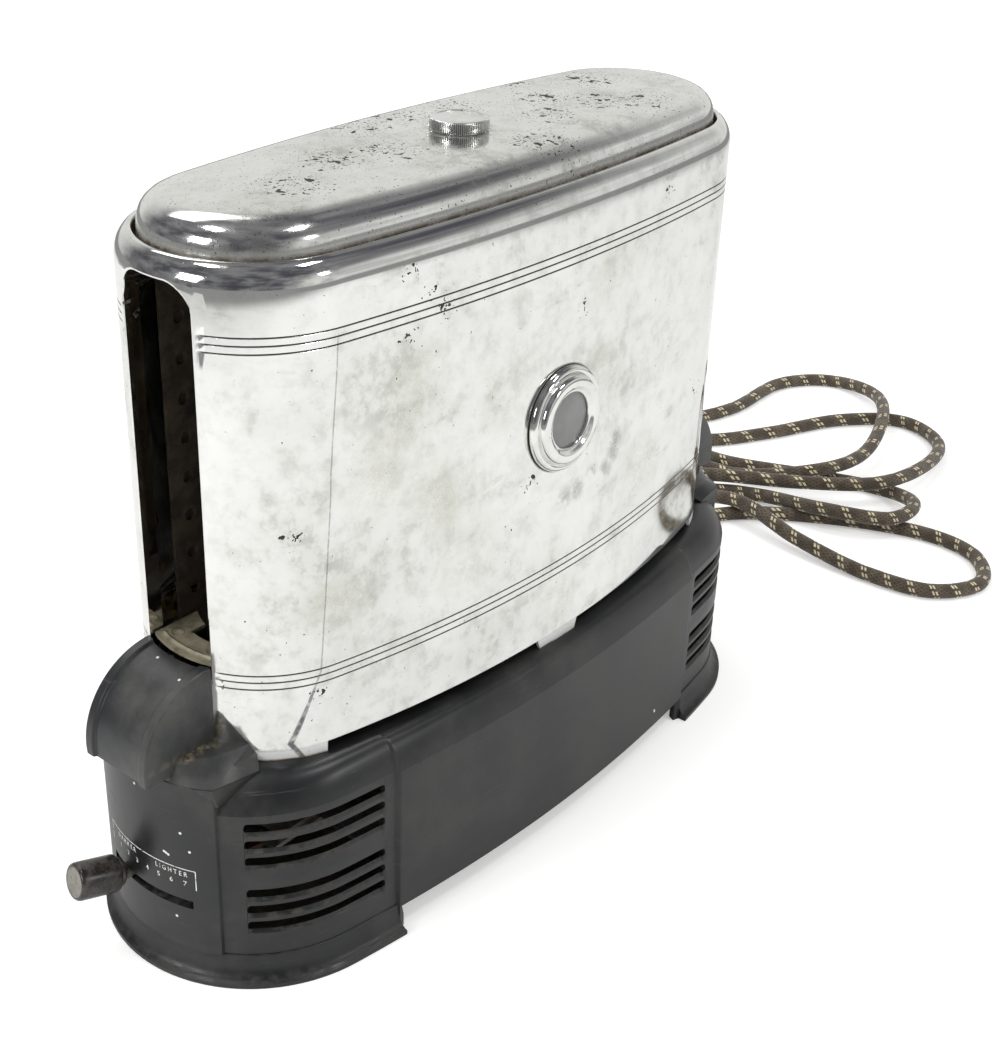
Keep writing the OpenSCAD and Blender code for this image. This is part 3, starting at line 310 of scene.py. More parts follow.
def rounded(profile, reach, steps=3):
    """The profile with each corner cut back by reach and rounded."""
    out = [profile[0]]
    for before, corner, after in zip(profile, profile[1:], profile[2:]):
        a, b, c = Vector(before), Vector(corner), Vector(after)
        cut = min(reach, 0.45 * (a - b).length, 0.45 * (c - b).length)
        start, end = b + cut * (a - b).normalized(), b + cut * (c - b).normalized()
        for k in range(steps + 1):
            t = k / steps
            out.append(tuple((1 - t) ** 2 * start + 2 * t * (1 - t) * b + t * t * end))
    out.append(profile[-1])
    return out


exit_matrix = Matrix.Translation(exit_point(0)) @ Matrix.Rotation(cord_turn, 4, "Z") @ Matrix.Rotation(math.pi / 2, 4, "Y")
sleeve = turned("cord_sleeve", rounded([
    (3.66, -6), (5.4, -6), (5.4, 0.02), (8, 0.02), (8, 2), (6.8, 3), (6.3, 8), (6.3, 9.2), (5.9, 9.6), (5.9, 10.6),
    (6.1, 11), (5.75, 13), (5.35, 13.4), (5.35, 14.4), (5.5, 14.8), (4.8, 20.8), (3.66, 20.8), (3.66, -6),
], 0.35))
placed(sleeve, exit_matrix)
shade(sleeve)
rubber = material_named("aged_rubber", Roughness=0.62)
rubber_place = object_place(rubber)
to_shader(
    rubber,
    Base_Color=mixed(rubber, between(rubber, noise(rubber, rubber_place, 140.0, 6.0), 0.4, 0.75), (0.014, 0.013, 0.012), (0.055, 0.050, 0.043)),
    Normal=bump(rubber, noise(rubber, rubber_place, 900.0), 0.25, 0.1 * mm),
)
sleeve.data.materials.append(rubber)
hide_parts("cord_gland")
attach(sleeve, "frame")


# Plug: a bell-shaped moulded rubber plug with a finger groove and two flat brass blades.
# The cord is moulded into its narrow end.
plug_matrix = (
    Matrix.Translation(Vector((322.8, 147.5, 6)) * mm)
    @ Matrix.Rotation(math.radians(98), 4, "Z")
    @ Matrix.Rotation(math.radians(75), 4, "Y")
)
plug = turned("plug_body", rounded([
    (0, 0), (5, 0), (5.3, 4), (5.6, 8), (8, 13), (11, 19.5), (10.8, 21.5), (12.2, 23), (13, 27), (13, 33), (12.4, 34), (0, 34),
], 0.6), 96)
placed(plug, plug_matrix)
shade(plug)
plug.data.materials.append(rubber)
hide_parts("plug_body")
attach(plug, "frame")

blades = []
for side in (-1, 1):
    outline = [(-3.2, 25), (3.2, 25), (3.2, 48.4), (2.6, 49.6), (1.2, 50), (-1.2, 50), (-2.6, 49.6), (-3.2, 48.4)]
    rings = [[(x * mm, (side * 6.35 + y) * mm, z * mm) for x, z in outline] for y in (-0.75, 0.75)]
    blade = wrap("plug_blade_left" if side < 0 else "plug_blade_right", rings)
    close_ends(blade)
    finished(blade, ("BEVEL", {"width": 0.25 * mm, "segments": 2, "limit_method": "ANGLE", "angle_limit": math.radians(50)}))
    placed(blade, plug_matrix)
    shade(blade)
    blades.append(blade)
brass = material_named("tarnished_brass", Metallic=1.0)
brass_place = object_place(brass)
brass_tarnish = between(brass, noise(brass, brass_place, 260.0, 5.0), 0.4, 0.7)
to_shader(
    brass,
    Base_Color=mixed(brass, brass_tarnish, (0.62, 0.46, 0.20), (0.30, 0.20, 0.09)),
    Roughness=between(brass, brass_tarnish, 0.0, 1.0, 0.28, 0.6),
)
for blade in blades:
    blade.data.materials.append(brass)
    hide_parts("plug_pins")
    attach(blade, "frame")


# Base housing: one thick moulding of black phenolic plastic with a rounded shoulder that carries the body.
# Its long sides and its two ends have raised panels, and each corner has six louvres for the motor's air.
def inset(size, distance):
    return tuple(v - distance for v in size)


def side_arc(size):
    """Radius of the flat side arc of a four-centred oval, and the angle where it meets the end arc."""
    a, b, r = size
    radius = ((a - r) ** 2 + b * b - r * r) / (2 * (b - r))
    return radius, math.degrees(math.atan2(a - r, radius - b))


base_oval = (152, 60, 51.5)
wall_z, seat_z = 69, 80
panel_out = 1.5
end_reach = side_arc(base_oval)[1]
end_reach = 90 - end_reach
side_tangent = (base_oval[0] - base_oval[2]) + base_oval[2] * math.cos(math.radians(end_reach))


def base_point(size, column):
    """Point of an oval for one column: an angle round the end, or a distance from the middle along the side."""
    kind, value = column
    a, b, r = size
    radius, g = side_arc(size)
    if kind == "end":
        angle = value if value < 45 else 45 + (value - 45) * (90 - g - 45) / (end_reach - 45)
        return (a - r) + r * math.cos(math.radians(angle)), r * math.sin(math.radians(angle))
    tangent = (a - r) + r * math.cos(math.radians(90 - g))
    x = value if value < 85 else 85 + (value - 85) * (tangent - 85) / (side_tangent - 85)
    x = value if value < 88 else 88 + (value - 88) * (tangent - 88) / (side_tangent - 88)
    return x, math.sqrt(radius * radius - x * x) - (radius - b)


def quarters(column_points):
    """Points of one quarter, from the end's axis to the middle of the side, mirrored to the full loop."""
    q = column_points
    return (
        [(-x, -y, z) for x, y, z in q[:-1]] + [(x, -y, z) for x, y, z in q[:0:-1]]
        + [(x, y, z) for x, y, z in q[:-1]] + [(-x, y, z) for x, y, z in q[:0:-1]]
    )


end_panel_edge = math.degrees(math.asin(28.4 / 53))
louvre_start, louvre_tip = 41.8, 92.6
tip = 1.3
tip_steps = (0.0, 0.1, 0.32, 0.72, tip)
end_columns = [2.0 * k for k in range(16)] + [31.2, end_panel_edge - 0.3, end_panel_edge + 0.3, 33.6, 35.4, 37.4, 39.6, 41.0]
end_columns += [louvre_start + math.degrees(t / base_oval[2]) for t in tip_steps]
end_columns += [46.0 + 2.28 * k for k in range(15)]
side_columns = [side_tangent - 0.001, 107, 104.6, 102.2, 99.8, 97.4] + [louvre_tip + t for t in reversed(tip_steps)]
side_columns += [91.4, 89.8, 88.6, 87.8, 87.3, 86.4, 84.5, 81] + [76 - 5 * k for k in range(15)] + [0]
base_columns = [("end", v) for v in end_columns] + [("side", v) for v in side_columns]
louvre_z = [23.4, 30.2, 37, 50.4, 57.2, 64]
louvre_half = 2.0
lip_rise, lip_depth = 1.2, 1.1
corner_r = 6


def panel_narrowing(z):
    """How much of the end panel's half angle is left at a height, because its upper corners are round."""
    rise = min(max(z - (seat_z - corner_r), 0), corner_r)
    edge = 28.4 - (corner_r - math.sqrt(corner_r**2 - rise**2))
    return math.degrees(math.asin(edge / 53)) / end_panel_edge


crease = math.radians(25)
# The shoulder leans in from a crisp crease: share of its height, and of its depth on the long sides.
shoulder = [(0, 0), (0.2, 0.14), (0.42, 0.30), (0.64, 0.47), (0.83, 0.65), (0.95, 0.82), (1, 1)]


def base_ring(rise=None, z=None, size=base_oval):
    """One ring of the outer face of the base, at a height on the wall or a share of the shoulder's height."""
    if rise is not None:
        lean = math.asin(rise * (1 - math.sin(crease)) + math.sin(crease))
        drop = 1 - math.cos(lean) / math.cos(crease)
        size = (base_oval[0] - 15 * drop, base_oval[1] - 5 * dict(shoulder)[rise], base_oval[2] - 8 * drop)
        z = wall_z + (seat_z - wall_z) * rise
    narrow = panel_narrowing(z)
    points = []
    for kind, value in base_columns:
        column, height = (kind, value), z
        if kind == "end" and value < louvre_start and z < 11:
            ring_size = size
        elif kind == "end" and value < louvre_start:
            edge = end_panel_edge * narrow
            if value < end_panel_edge:
                # The end panel stands straight up to the seat.
                column, ring_size = ("end", value * narrow), inset(base_oval, -panel_out)
                height = min(z, seat_z - 0.35) if rise != 1 else seat_z
                if rise == 1:
                    ring_size = inset(base_oval, -panel_out + 0.5)
            else:
                share = (value - end_panel_edge) / (louvre_start - end_panel_edge)
                column, ring_size = ("end", edge + share * (louvre_start - edge)), size
        elif kind == "side" and value < 87.55:
            ring_size = inset(size, -panel_out)
        else:
            ring_size = size
        # A louvre's lower and upper edge draw together at its two rounded tips.
        for middle in louvre_z:
            if abs(abs(z - middle) - louvre_half) < 0.01:
                if kind == "end" and value >= louvre_start - 0.01:
                    run = math.radians(value - louvre_start) * base_oval[2]
                elif kind == "side" and value >= louvre_tip - 0.01:
                    run = value - louvre_tip
                else:
                    continue
                if z < middle:
                    # The lower edge of a louvre slopes inwards.
                    ring_size = inset(ring_size, lip_depth * min(1, run / tip))
                if run < tip:
                    half = math.sqrt(max(0.0, tip**2 - (tip - run) ** 2)) * louvre_half / tip
                    height = middle + math.copysign(half, z - middle)
        x, y = base_point(ring_size, column)
        points.append((x * mm, y * mm, height * mm))
    return quarters(points)


base_rows = [0, 5, 10.5, 11.1, 15, 18.5, 43.5]
for middle in louvre_z:
    base_rows += [middle - louvre_half - lip_rise, middle - louvre_half, middle + louvre_half]
base_rows.sort()
base_rings = [base_ring(z=z) for z in base_rows] + [base_ring(rise=share) for share, _ in shoulder]
seat_oval = (base_oval[0] - 15, base_oval[1] - 5, base_oval[2] - 8)
flange_rings = [
    quarters([(*(v * mm for v in base_point(inset(seat_oval, d), c)), seat_z * mm) for c in base_columns]) for d in (4, 8)
]
base = wrap("base_housing", base_rings + flange_rings)


def delete_faces(piece, inside):
    """Deletes the faces whose middle, in millimetres, lies where inside says so."""
    def pick():
        mesh = bmesh.from_edit_mesh(piece.data)
        for face in mesh.faces:
            face.select_set(inside(face.calc_center_median() / mm))
        bmesh.update_edit_mesh(piece.data)
        bpy.ops.mesh.delete(type="FACE")
    edit(piece, pick)


def in_louvre(c):
    if not any(abs(c.z - middle) < louvre_half for middle in louvre_z):
        return False
    if abs(c.x) < 100.5:
        return abs(c.x) > louvre_tip
    return math.degrees(math.atan2(abs(c.y), abs(c.x) - 100.5)) > louvre_start


delete_faces(base, lambda c: in_louvre(c) or (c.z < 10.5 and abs(c.x) < 87.5))
lever_low, lever_high, lever_half = 29.2, 32.6, 20
finished(
    base,
    ("SOLIDIFY", {"thickness": 3 * mm, "offset": -1.0, "use_even_offset": False}),
    ("BEVEL", {"width": 0.45 * mm, "segments": 2, "limit_method": "ANGLE", "angle_limit": math.radians(48)}),
)
lever_gap = wrap("lever_gap", [
    [(x * mm, y * mm, z * mm) for x, y in ((-160, -lever_half), (-140, -lever_half), (-140, lever_half), (-160, lever_half))]
    for z in (lever_low, lever_high)
])
close_ends(lever_gap)


def cut(piece, tool, operation="DIFFERENCE"):
    """Boolean of a piece with a tool, which is then removed."""
    finished(piece, ("BOOLEAN", {"object": tool, "operation": operation, "solver": "EXACT"}))
    bpy.data.objects.remove(tool, do_unlink=True)


cut(base, lever_gap)

# The foot: a cove that spreads out from the wall round each end of the base.
foot_columns = [c for c in base_columns if c[0] == "end" or c[1] > 86.9]
foot_profile = [(-4.7, 0), (-5, 0.3), (-5, 1.8)] + [
    (-0.6 - 4.4 * (1 - math.sin(math.radians(t))), 2 + 8.4 * (1 - math.cos(math.radians(t)))) for t in range(6, 90, 12)
] + [(-0.6, 10.6), (-0.45, 10.9), (-0.2, 11.05), (0.4, 11.1), (1.6, 10), (1.6, 0)]
feet = []
for end in (-1, 1):
    rings = []
    for column in reversed(foot_columns):
        ring = []
        for d, z in foot_profile:
            x, y = base_point(inset(base_oval, d), column)
            ring.append((end * x * mm, -y * mm, z * mm))
        rings.append(ring)
    for column in foot_columns[1:]:
        ring = []
        for d, z in foot_profile:
            x, y = base_point(inset(base_oval, d), column)
            ring.append((end * x * mm, y * mm, z * mm))
        rings.append(ring)
    foot = wrap("foot", rings)
    close_ends(foot)
    feet.append(foot)

# The gussets: wedges that run from the end panels' corners up to the aprons.
gussets = []
for end in (-1, 1):
    for side in (-1, 1):
        low = [(142.6, 27.4), (143.9, 27.8), (144.8, 28.5), (144.2, 29.2), (139.0, 28.2), (137.2, 27.6)]
        high = [(149.2, 21.5), (148.9, 23.5), (147.4, 25.6), (145.6, 28.4), (128, 31.5), (128, 24)]
        rings = [
            [((x0 + (x1 - x0) * t) * end * mm, (y0 + (y1 - y0) * t) * side * mm, z * mm) for (x0, y0), (x1, y1) in zip(low, high)]
            for t, z in ((0, 73.2), (0.2, 74.2), (0.55, 76.6), (1, 79.98))
        ]
        gusset = wrap("gusset", rings)
        close_ends(gusset)
        gussets.append(gusset)

only(base)
for part in feet + gussets:
    part.select_set(True)
bpy.context.view_layer.objects.active = base
bpy.ops.object.join()
shade(base, 32)


def mark_crease():
    """Keeps the edge between wall and shoulder crisp."""
    mesh = bmesh.from_edit_mesh(base.data)
    for edge in mesh.edges:
        if all(abs(v.co.z / mm - wall_z) < 0.02 for v in edge.verts):
            edge.smooth = False
    bmesh.update_edit_mesh(base.data)


edit(base, mark_crease)


def black_phenolic(name, specks, dust, crumb, grey):
    """Black phenolic plastic, still glossy, with a grey film in places; dust gives a mask for loose dirt."""
    made = material_named(name, IOR=1.5)
    place = object_place(made)
    film = between(made, noise(made, place, 22.0, 8.0, 0.65), 0.42, 0.75)
    grain = noise(made, place, 700.0, 3.0)
    scratch = between(made, noise(made, object_place(made, (40, 40, 900)), 1.0, 3.0), 0.66, 0.72)
    colour = mixed(made, film, (0.009 * grey, 0.0095 * grey, 0.0105 * grey), (0.036 * grey, 0.036 * grey, 0.033 * grey))
    colour = mixed(made, maths(made, "MULTIPLY", scratch, 0.5), colour, (0.06, 0.06, 0.058))
    rough = maths(made, "ADD", between(made, film, 0.0, 1.0, 0.34, 0.46), maths(made, "MULTIPLY", scratch, 0.15))
    dirt = maths(made, "MULTIPLY", dust(made, place), between(made, noise(made, place, 260.0, 6.0, 0.75), 0.45, 0.60))
    colour = mixed(made, dirt, colour, mixed(made, noise(made, place, 900.0, 3.0), crumb, tuple(0.4 * c for c in crumb)))
    rough = maths(made, "ADD", rough, maths(made, "MULTIPLY", dirt, 0.5))
    height = maths(made, "ADD", grain, maths(made, "MULTIPLY", dirt, 4.0))
    colour = mixed(made, near_points(made, place, specks, 0.35, 0.65), colour, (0.72, 0.72, 0.70))
    to_shader(made, Base_Color=colour, Roughness=rough, Normal=bump(made, height, 0.16, 0.1 * mm))
    return made




def on_lips(made, place):
    """What faces upwards below the shoulder: the lower lips of the louvres and the lever slot, and the foot."""
    height = node(made, "SeparateXYZ", {0: place}, out=2)
    upward = between(made, node(made, "SeparateXYZ", {0: node(made, "NewGeometry", out=1)}, out=2), 0.30, 0.75)
    low = between(made, height, 67.5 * mm, 66.0 * mm)
    foot = between(made, height, 11.0 * mm, 13.0 * mm, 0.35, 1.0)
    return maths(made, "MULTIPLY", upward, maths(made, "MULTIPLY", low, foot))


base.data.materials.append(black_phenolic("black_phenolic", [
    (-152.5, -10.4, 50.3), (-152.3, -11.2, 50.0), (-152.1, -12.0, 49.6), (-150.7, -17.1, 60.2), (-149.6, -19.9, 53.3),
    (-151.7, -13.6, 24.2), (-153.5, 1.1, 72.6), (62.7, -58.5, 18.2), (63.1, -58.4, 17.4),
    (-72.6, -58.5, 61.2), (-73.4, -58.4, 60.3),
], on_lips, (0.075, 0.070, 0.060), 1.1))
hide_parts("base_housing")
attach(base, "frame")


# Aprons: two phenolic half barrels with a raised rim on both edges and a wing on each side.
# Each stands on an end panel and fills the place between it and the sill of the bread slot.
barrel_x, barrel_z, barrel_r, barrel_half = 132.5, 85.5, 27.5, 15
shell_cx, shell_r = 93, 42


def apron(name, end):
    stations = [(-15, -0.5), (-14.85, 0.65), (-14.4, 1), (-11.6, 1), (-11.2, 0.8), (-10.9, 0.2), (-10.5, 0)]
    stations += [(y, 0) for y in (-8, -4, 0)]
    stations += [(-y, grow) for y, grow in reversed(stations[:-1])]
    rings = []
    for y, grow in stations:
        r = barrel_r + grow
        back_x = shell_cx + math.sqrt(shell_r**2 - y * y) + 0.05
        low = math.degrees(math.asin((82 - barrel_z) / r))
        high = math.degrees(math.acos((back_x - barrel_x) / r))
        arc = [math.radians(low + (high - low) * k / 40) for k in range(41)]
        ring = [(barrel_x + r * math.cos(t), y, barrel_z + r * math.sin(t)) for t in arc]
        ring += [(back_x, y, 96), (back_x, y, 81)]
        front = 100.5 + math.sqrt(53**2 - y * y)
        ring += [(front - 2, y, 80.0), (front, y, 80.0), (front, y, 81.6), (front + 0.4, y, 82)]
        rings.append([(end * x * mm, y * mm, z * mm) for x, y, z in ring])
    barrel = wrap(name, rings)
    close_ends(barrel)
    foot_outline = [(152, 14.5), (150.7, 18.4), (149.2, 21.9), (147.4, 25.6), (145.6, 28.4), (128, 31.5), (118, 14.5)]
    ledge_outline = [(149, 14.5), (145.5, 18.6), (139, 22.4), (132, 24.6), (125.5, 25.4), (122, 22), (118, 14.5)]
    wings = []
    for side in (-1, 1):
        levels = [(0, 80), (0.5, 83.5), (1.0, 87.0)]
        wing = wrap("wing", [
            [((x0 + (x1 - x0) * t) * end * mm, (y0 + (y1 - y0) * t) * side * mm, z * mm)
             for (x0, y0), (x1, y1) in zip(foot_outline, ledge_outline)] for t, z in levels
        ])
        close_ends(wing)
        finished(wing, ("BEVEL", {"width": 0.35 * mm, "segments": 2, "limit_method": "ANGLE", "angle_limit": math.radians(30)}))
        wings.append(wing)
    only(barrel)
    for wing in wings:
        wing.select_set(True)
    bpy.context.view_layer.objects.active = barrel
    bpy.ops.object.join()
    shade(barrel, 24)
    return barrel




def on_ledge(made, place):
    """The wings' level tops close to the cheeks, where crumbs have gathered."""
    height = node(made, "SeparateXYZ", {0: place}, out=2)
    aside = maths(made, "ABSOLUTE", node(made, "SeparateXYZ", {0: place}, out=1))
    aside = maths(made, "ADD", aside, maths(made, "MULTIPLY", noise(made, place, 110.0, 4.0), 5 * mm))
    upward = between(made, node(made, "SeparateXYZ", {0: node(made, "NewGeometry", out=1)}, out=2), 0.5, 0.9)
    level = maths(made, "MULTIPLY", between(made, height, 89.5 * mm, 87.5 * mm), between(made, height, 85.5 * mm, 86.3 * mm))
    near = maths(made, "MULTIPLY", between(made, aside, 16.4 * mm, 17.0 * mm), between(made, aside, 23.0 * mm, 19.5 * mm))
    return maths(made, "MULTIPLY", maths(made, "MULTIPLY", level, near), between(made, upward, 0.0, 1.0, 0.25, 1.0))


apron_black = black_phenolic("dusty_phenolic", [(-141, -10, 111.5), (-138, 4, 112.4)], on_ledge, (0.30, 0.25, 0.14), 2.1)
for name, end in (("near_apron", -1), ("far_apron", 1)):
    piece = apron(name, end)
    piece.data.materials.append(apron_black)
    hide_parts(name)
    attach(piece, "frame")


# Body shell: pressed steel, chromium plated, drawn in at the top to a lip and a ledge for the cover.
# It has a bread slot in each rounded end, a round window, and three fine grooves above and below.
shell_foot = (135, 53.2, 42)
shell_top = (135, 47.5, 42)
end_steps, side_steps = 56, 44


def oval_points(size, z, out=None):
    """Points of a four-centred oval from its end round to the other, at an even pace on each arc."""
    a, b, r = size
    radius, g = side_arc(size)
    points = []
    for k in range(end_steps):
        t = math.radians((90 - g) * k / end_steps)
        points.append(((a - r) + r * math.cos(t), r * math.sin(t)))
    for k in range(side_steps + 1):
        t = math.radians(g * (1 - k / side_steps))
        points.append((radius * math.sin(t), radius * math.cos(t) - (radius - b)))
    if out:
        points = [out(x, y) for x, y in points]
    return quarters([(x * mm, y * mm, z * mm) for x, y in points])


def wall_size(z):
    share = (z - 80) / 160
    return (135, 53.2 + (47.5 - 53.2) * share, 42)


groove_z = (227, 224.5, 222, 112.7, 110.2, 107.6)
slot_half, sill_z, slot_top, slot_corner = 14.5, 109.0, 241.0, 9.0
groove_half, groove_deep = 0.30, 0.32
shell_rings = []
wall_rows = [80, 84, 92, 100, 105.5, 118, 130, 142, 155, 168, 181, 194, 206, 216, 230, 235, 240]
for z in sorted(wall_rows + [g + d for g in groove_z for d in (-groove_half, 0, groove_half)]):
    deep = groove_deep if z in groove_z else 0

    def groove(x, y, deep=deep, z=z):
        if not deep:
            return x, y
        fade = min(1, max(0, (abs(y) - slot_half - 2.5) / 2)) if x > 100 else 1
        centre = Vector((max(0, x - 93), y)) if x > 93 else Vector((0, y))
        return tuple(Vector((x, y)) - centre.normalized() * deep * fade)

    shell_rings.append(oval_points(wall_size(z), z, groove))
lip = [(0.25, 241.9), (0.7, 243.4), (1.35, 244.8), (2.2, 246), (3.0, 246.9), (3.9, 247.6), (4.45, 247.9), (5, 248),
       (5.5, 247.85), (5.8, 247.5), (6.0, 246.8), (6.1, 245.4), (6.3, 244.4), (6.8, 244.05), (8.2, 244), (10, 244)]
shell_rings += [oval_points(inset(shell_top, d), z) for d, z in lip]
shell = wrap("body_shell", shell_rings)


def bisect(piece, near, point, normal):
    """Cuts new edges along a plane through the faces whose middle lies near, in millimetres."""
    def slice_it():
        mesh = bmesh.from_edit_mesh(piece.data)
        for face in mesh.faces:
            face.select_set(near(face.calc_center_median() / mm))
        bmesh.update_edit_mesh(piece.data)
        bpy.ops.mesh.bisect(plane_co=Vector(point) * mm, plane_no=normal, threshold=0.0005 * mm)
    edit(piece, slice_it)


rim = 0.9
cut_half, cut_low, cut_top, cut_corner = slot_half + rim, sill_z - rim, slot_top + rim, slot_corner + rim
for end in (-1, 1):
    at_slot = lambda c, end=end: c.x * end > 118 and abs(c.y) < 19 and 104 < c.z < 244.5
    bisect(shell, at_slot, (0, 0, cut_low), (0, 0, 1))
    bisect(shell, at_slot, (0, 0, cut_top), (0, 0, 1))
    for side in (-1, 1):
        bisect(shell, at_slot, (0, side * cut_half, 0), (0, 1, 0))
        for k in range(1, 8):
            t = math.radians(90 * k / 8)
            heart = (cut_half - cut_corner, cut_top - cut_corner)
            point = (0, side * (heart[0] + cut_corner * math.cos(t)), heart[1] + cut_corner * math.sin(t))
            bisect(shell, lambda c, end=end, side=side: c.x * end > 118 and c.y * side > heart[0] - 3 and abs(c.y) < 19
                   and heart[1] - 3 < c.z < 244.5, point, (0, side * math.cos(t), math.sin(t)))


def in_slot(c):
    if abs(c.x) < 118 or abs(c.y) > cut_half or not cut_low < c.z < cut_top:
        return False
    dy, dz = abs(c.y) - (cut_half - cut_corner), c.z - (cut_top - cut_corner)
    return dy < 0 or dz < 0 or math.hypot(dy, dz) < cut_corner + 0.02


for side in (-1, 1):
    on_side = lambda c, side=side: c.y * side > 40 and c.z < 93
    bisect(shell, on_side, (0, 0, 84), (0, 0, 1))
    for sign in (-1, 1):
        bisect(shell, on_side, (sign * 10.2, 0, 80), (1, 0, sign * -0.32))
        bisect(shell, on_side, (sign * 107.6, 0, 80), (1, 0, sign * 0.25))


def in_foot_gap(c):
    x = abs(c.x)
    return c.z < 84 and abs(c.y) > 40 and 10.2 + 0.32 * (c.z - 80) < x < 107.6 - 0.25 * (c.z - 80)


delete_faces(shell, lambda c: in_slot(c) or in_foot_gap(c))


def slot_inwards(y, z):
    """Direction from a point of the slot's edge towards its opening."""
    dy, dz = abs(y) - (cut_half - cut_corner), z - (cut_top - cut_corner)
    if dy > 0 and dz > 0:
        away = Vector((dy, dz)).normalized()
        return -math.copysign(away.x, y), -away.y
    if z > cut_top - 0.2:
        return 0, -1
    low = 1 if z < cut_low + 0.05 else 0
    flank = 1 if abs(y) > cut_half - 0.05 else 0
    return -math.copysign(flank, y), low


def roll_rim():
    """Turns the slot's edge inwards through three extruded rows."""
    mesh = bmesh.from_edit_mesh(shell.data)
    for part in list(mesh.faces) + list(mesh.edges) + list(mesh.verts):
        part.select_set(False)
    for edge in mesh.edges:
        middle = (edge.verts[0].co + edge.verts[1].co) / 2 / mm
        if edge.is_boundary and abs(middle.x) > 118 and 100 < middle.z < 243.5:
            edge.select_set(True)
    bmesh.update_edit_mesh(shell.data)
    for across, inward in ((0.55, 0.18), (0.27, 0.34), (0.08, 0.55), (0.0, 4.6)):
        bpy.ops.mesh.extrude_edges_move()
        mesh = bmesh.from_edit_mesh(shell.data)
        for v in [v for v in mesh.verts if v.select]:
            dy, dz = slot_inwards(v.co.y / mm, v.co.z / mm)
            v.co += Vector((-math.copysign(inward, v.co.x), dy * across, dz * across)) * mm
        bmesh.update_edit_mesh(shell.data)


def edge_mode():
    bpy.ops.mesh.select_mode(type="EDGE")


edit(shell, edge_mode, roll_rim)
finished(shell, ("SOLIDIFY", {"thickness": 1.2 * mm, "offset": -1.0, "use_even_offset": False}))
window_z, window_y, lean = 168.1, 50.06, math.radians(2.04)
window_matrix = Matrix.Translation(Vector((0, -window_y, window_z)) * mm) @ Matrix.Rotation(math.pi / 2 - lean, 4, "X")
window_hole = placed(turned("window_hole", [(0, -9), (13.7, -9), (13.7, 5), (0, 5)], 64), window_matrix)
cut(shell, window_hole)
shade(shell, 32)


def chrome(name, haze, crowds, crowd_reach, marks=None, polish=0.06, blots=()):
    """Worn chromium plate: bright, with grey hazy smudges and dark pits that crowd round given points.

    marks gives further masks as (mask, colour, roughness), each painted over the last. polish is the
    roughness of the clean plate, and blots are further, coarser pits as (scale, sparse limit, dense limit).
    """
    plate = material_named(name)
    place = object_place(plate)
    cloud = between(plate, noise(plate, place, 19.0, 10.0, 0.70), 0.36, 0.74)
    fine = between(plate, noise(plate, place, 130.0, 6.0, 0.7), 0.40, 0.68)
    wipe = between(plate, noise(plate, object_place(plate, (30, 30, 90)), 1.0, 7.0, 0.65), 0.50, 0.70)
    smudge = maths(plate, "MAXIMUM", cloud, maths(plate, "MULTIPLY", wipe, 0.7))
    smudge = maths(plate, "MULTIPLY", smudge, between(plate, fine, 0.0, 1.0, 0.45, 1.0))
    smudge = maths(plate, "ADD", smudge, maths(plate, "MULTIPLY", fine, 0.16))
    colour = mixed(plate, maths(plate, "MULTIPLY", smudge, haze), (0.87, 0.875, 0.85), (0.50, 0.505, 0.465))
    rough = between(plate, smudge, 0.0, 1.0, polish, polish + 0.20 * haze)
    crowd = near_points(plate, place, crowds, 0, crowd_reach)
    pit = None
    for scale, sparse, dense in ((330.0, 0.80, 0.615), (800.0, 0.76, 0.64), *blots):
        limit = between(plate, crowd, 0.0, 1.0, sparse, dense)
        spot = maths(plate, "GREATER_THAN", noise(plate, place, scale, 2.0, 0.5), limit)
        pit = spot if pit is None else maths(plate, "MAXIMUM", pit, spot)
    metal = 1.0
    for mask, mark_colour, mark_rough in (marks(plate, place) if marks else []) + [(pit, (0.035, 0.030, 0.026), 0.6)]:
        colour = mixed(plate, mask, colour, mark_colour)
        rough = node(plate, "Mix", {0: mask, 2: rough, 3: mark_rough})
        metal = maths(plate, "MULTIPLY", metal, between(plate, mask, 0.0, 1.0, 1.0, 0.25))
    relief = maths(plate, "SUBTRACT", noise(plate, place, 24.0, 2.0), maths(plate, "MULTIPLY", pit, 0.25))
    to_shader(plate, Base_Color=colour, Metallic=metal, Roughness=rough, Normal=bump(plate, relief, 0.10, 0.5 * mm))
    return plate


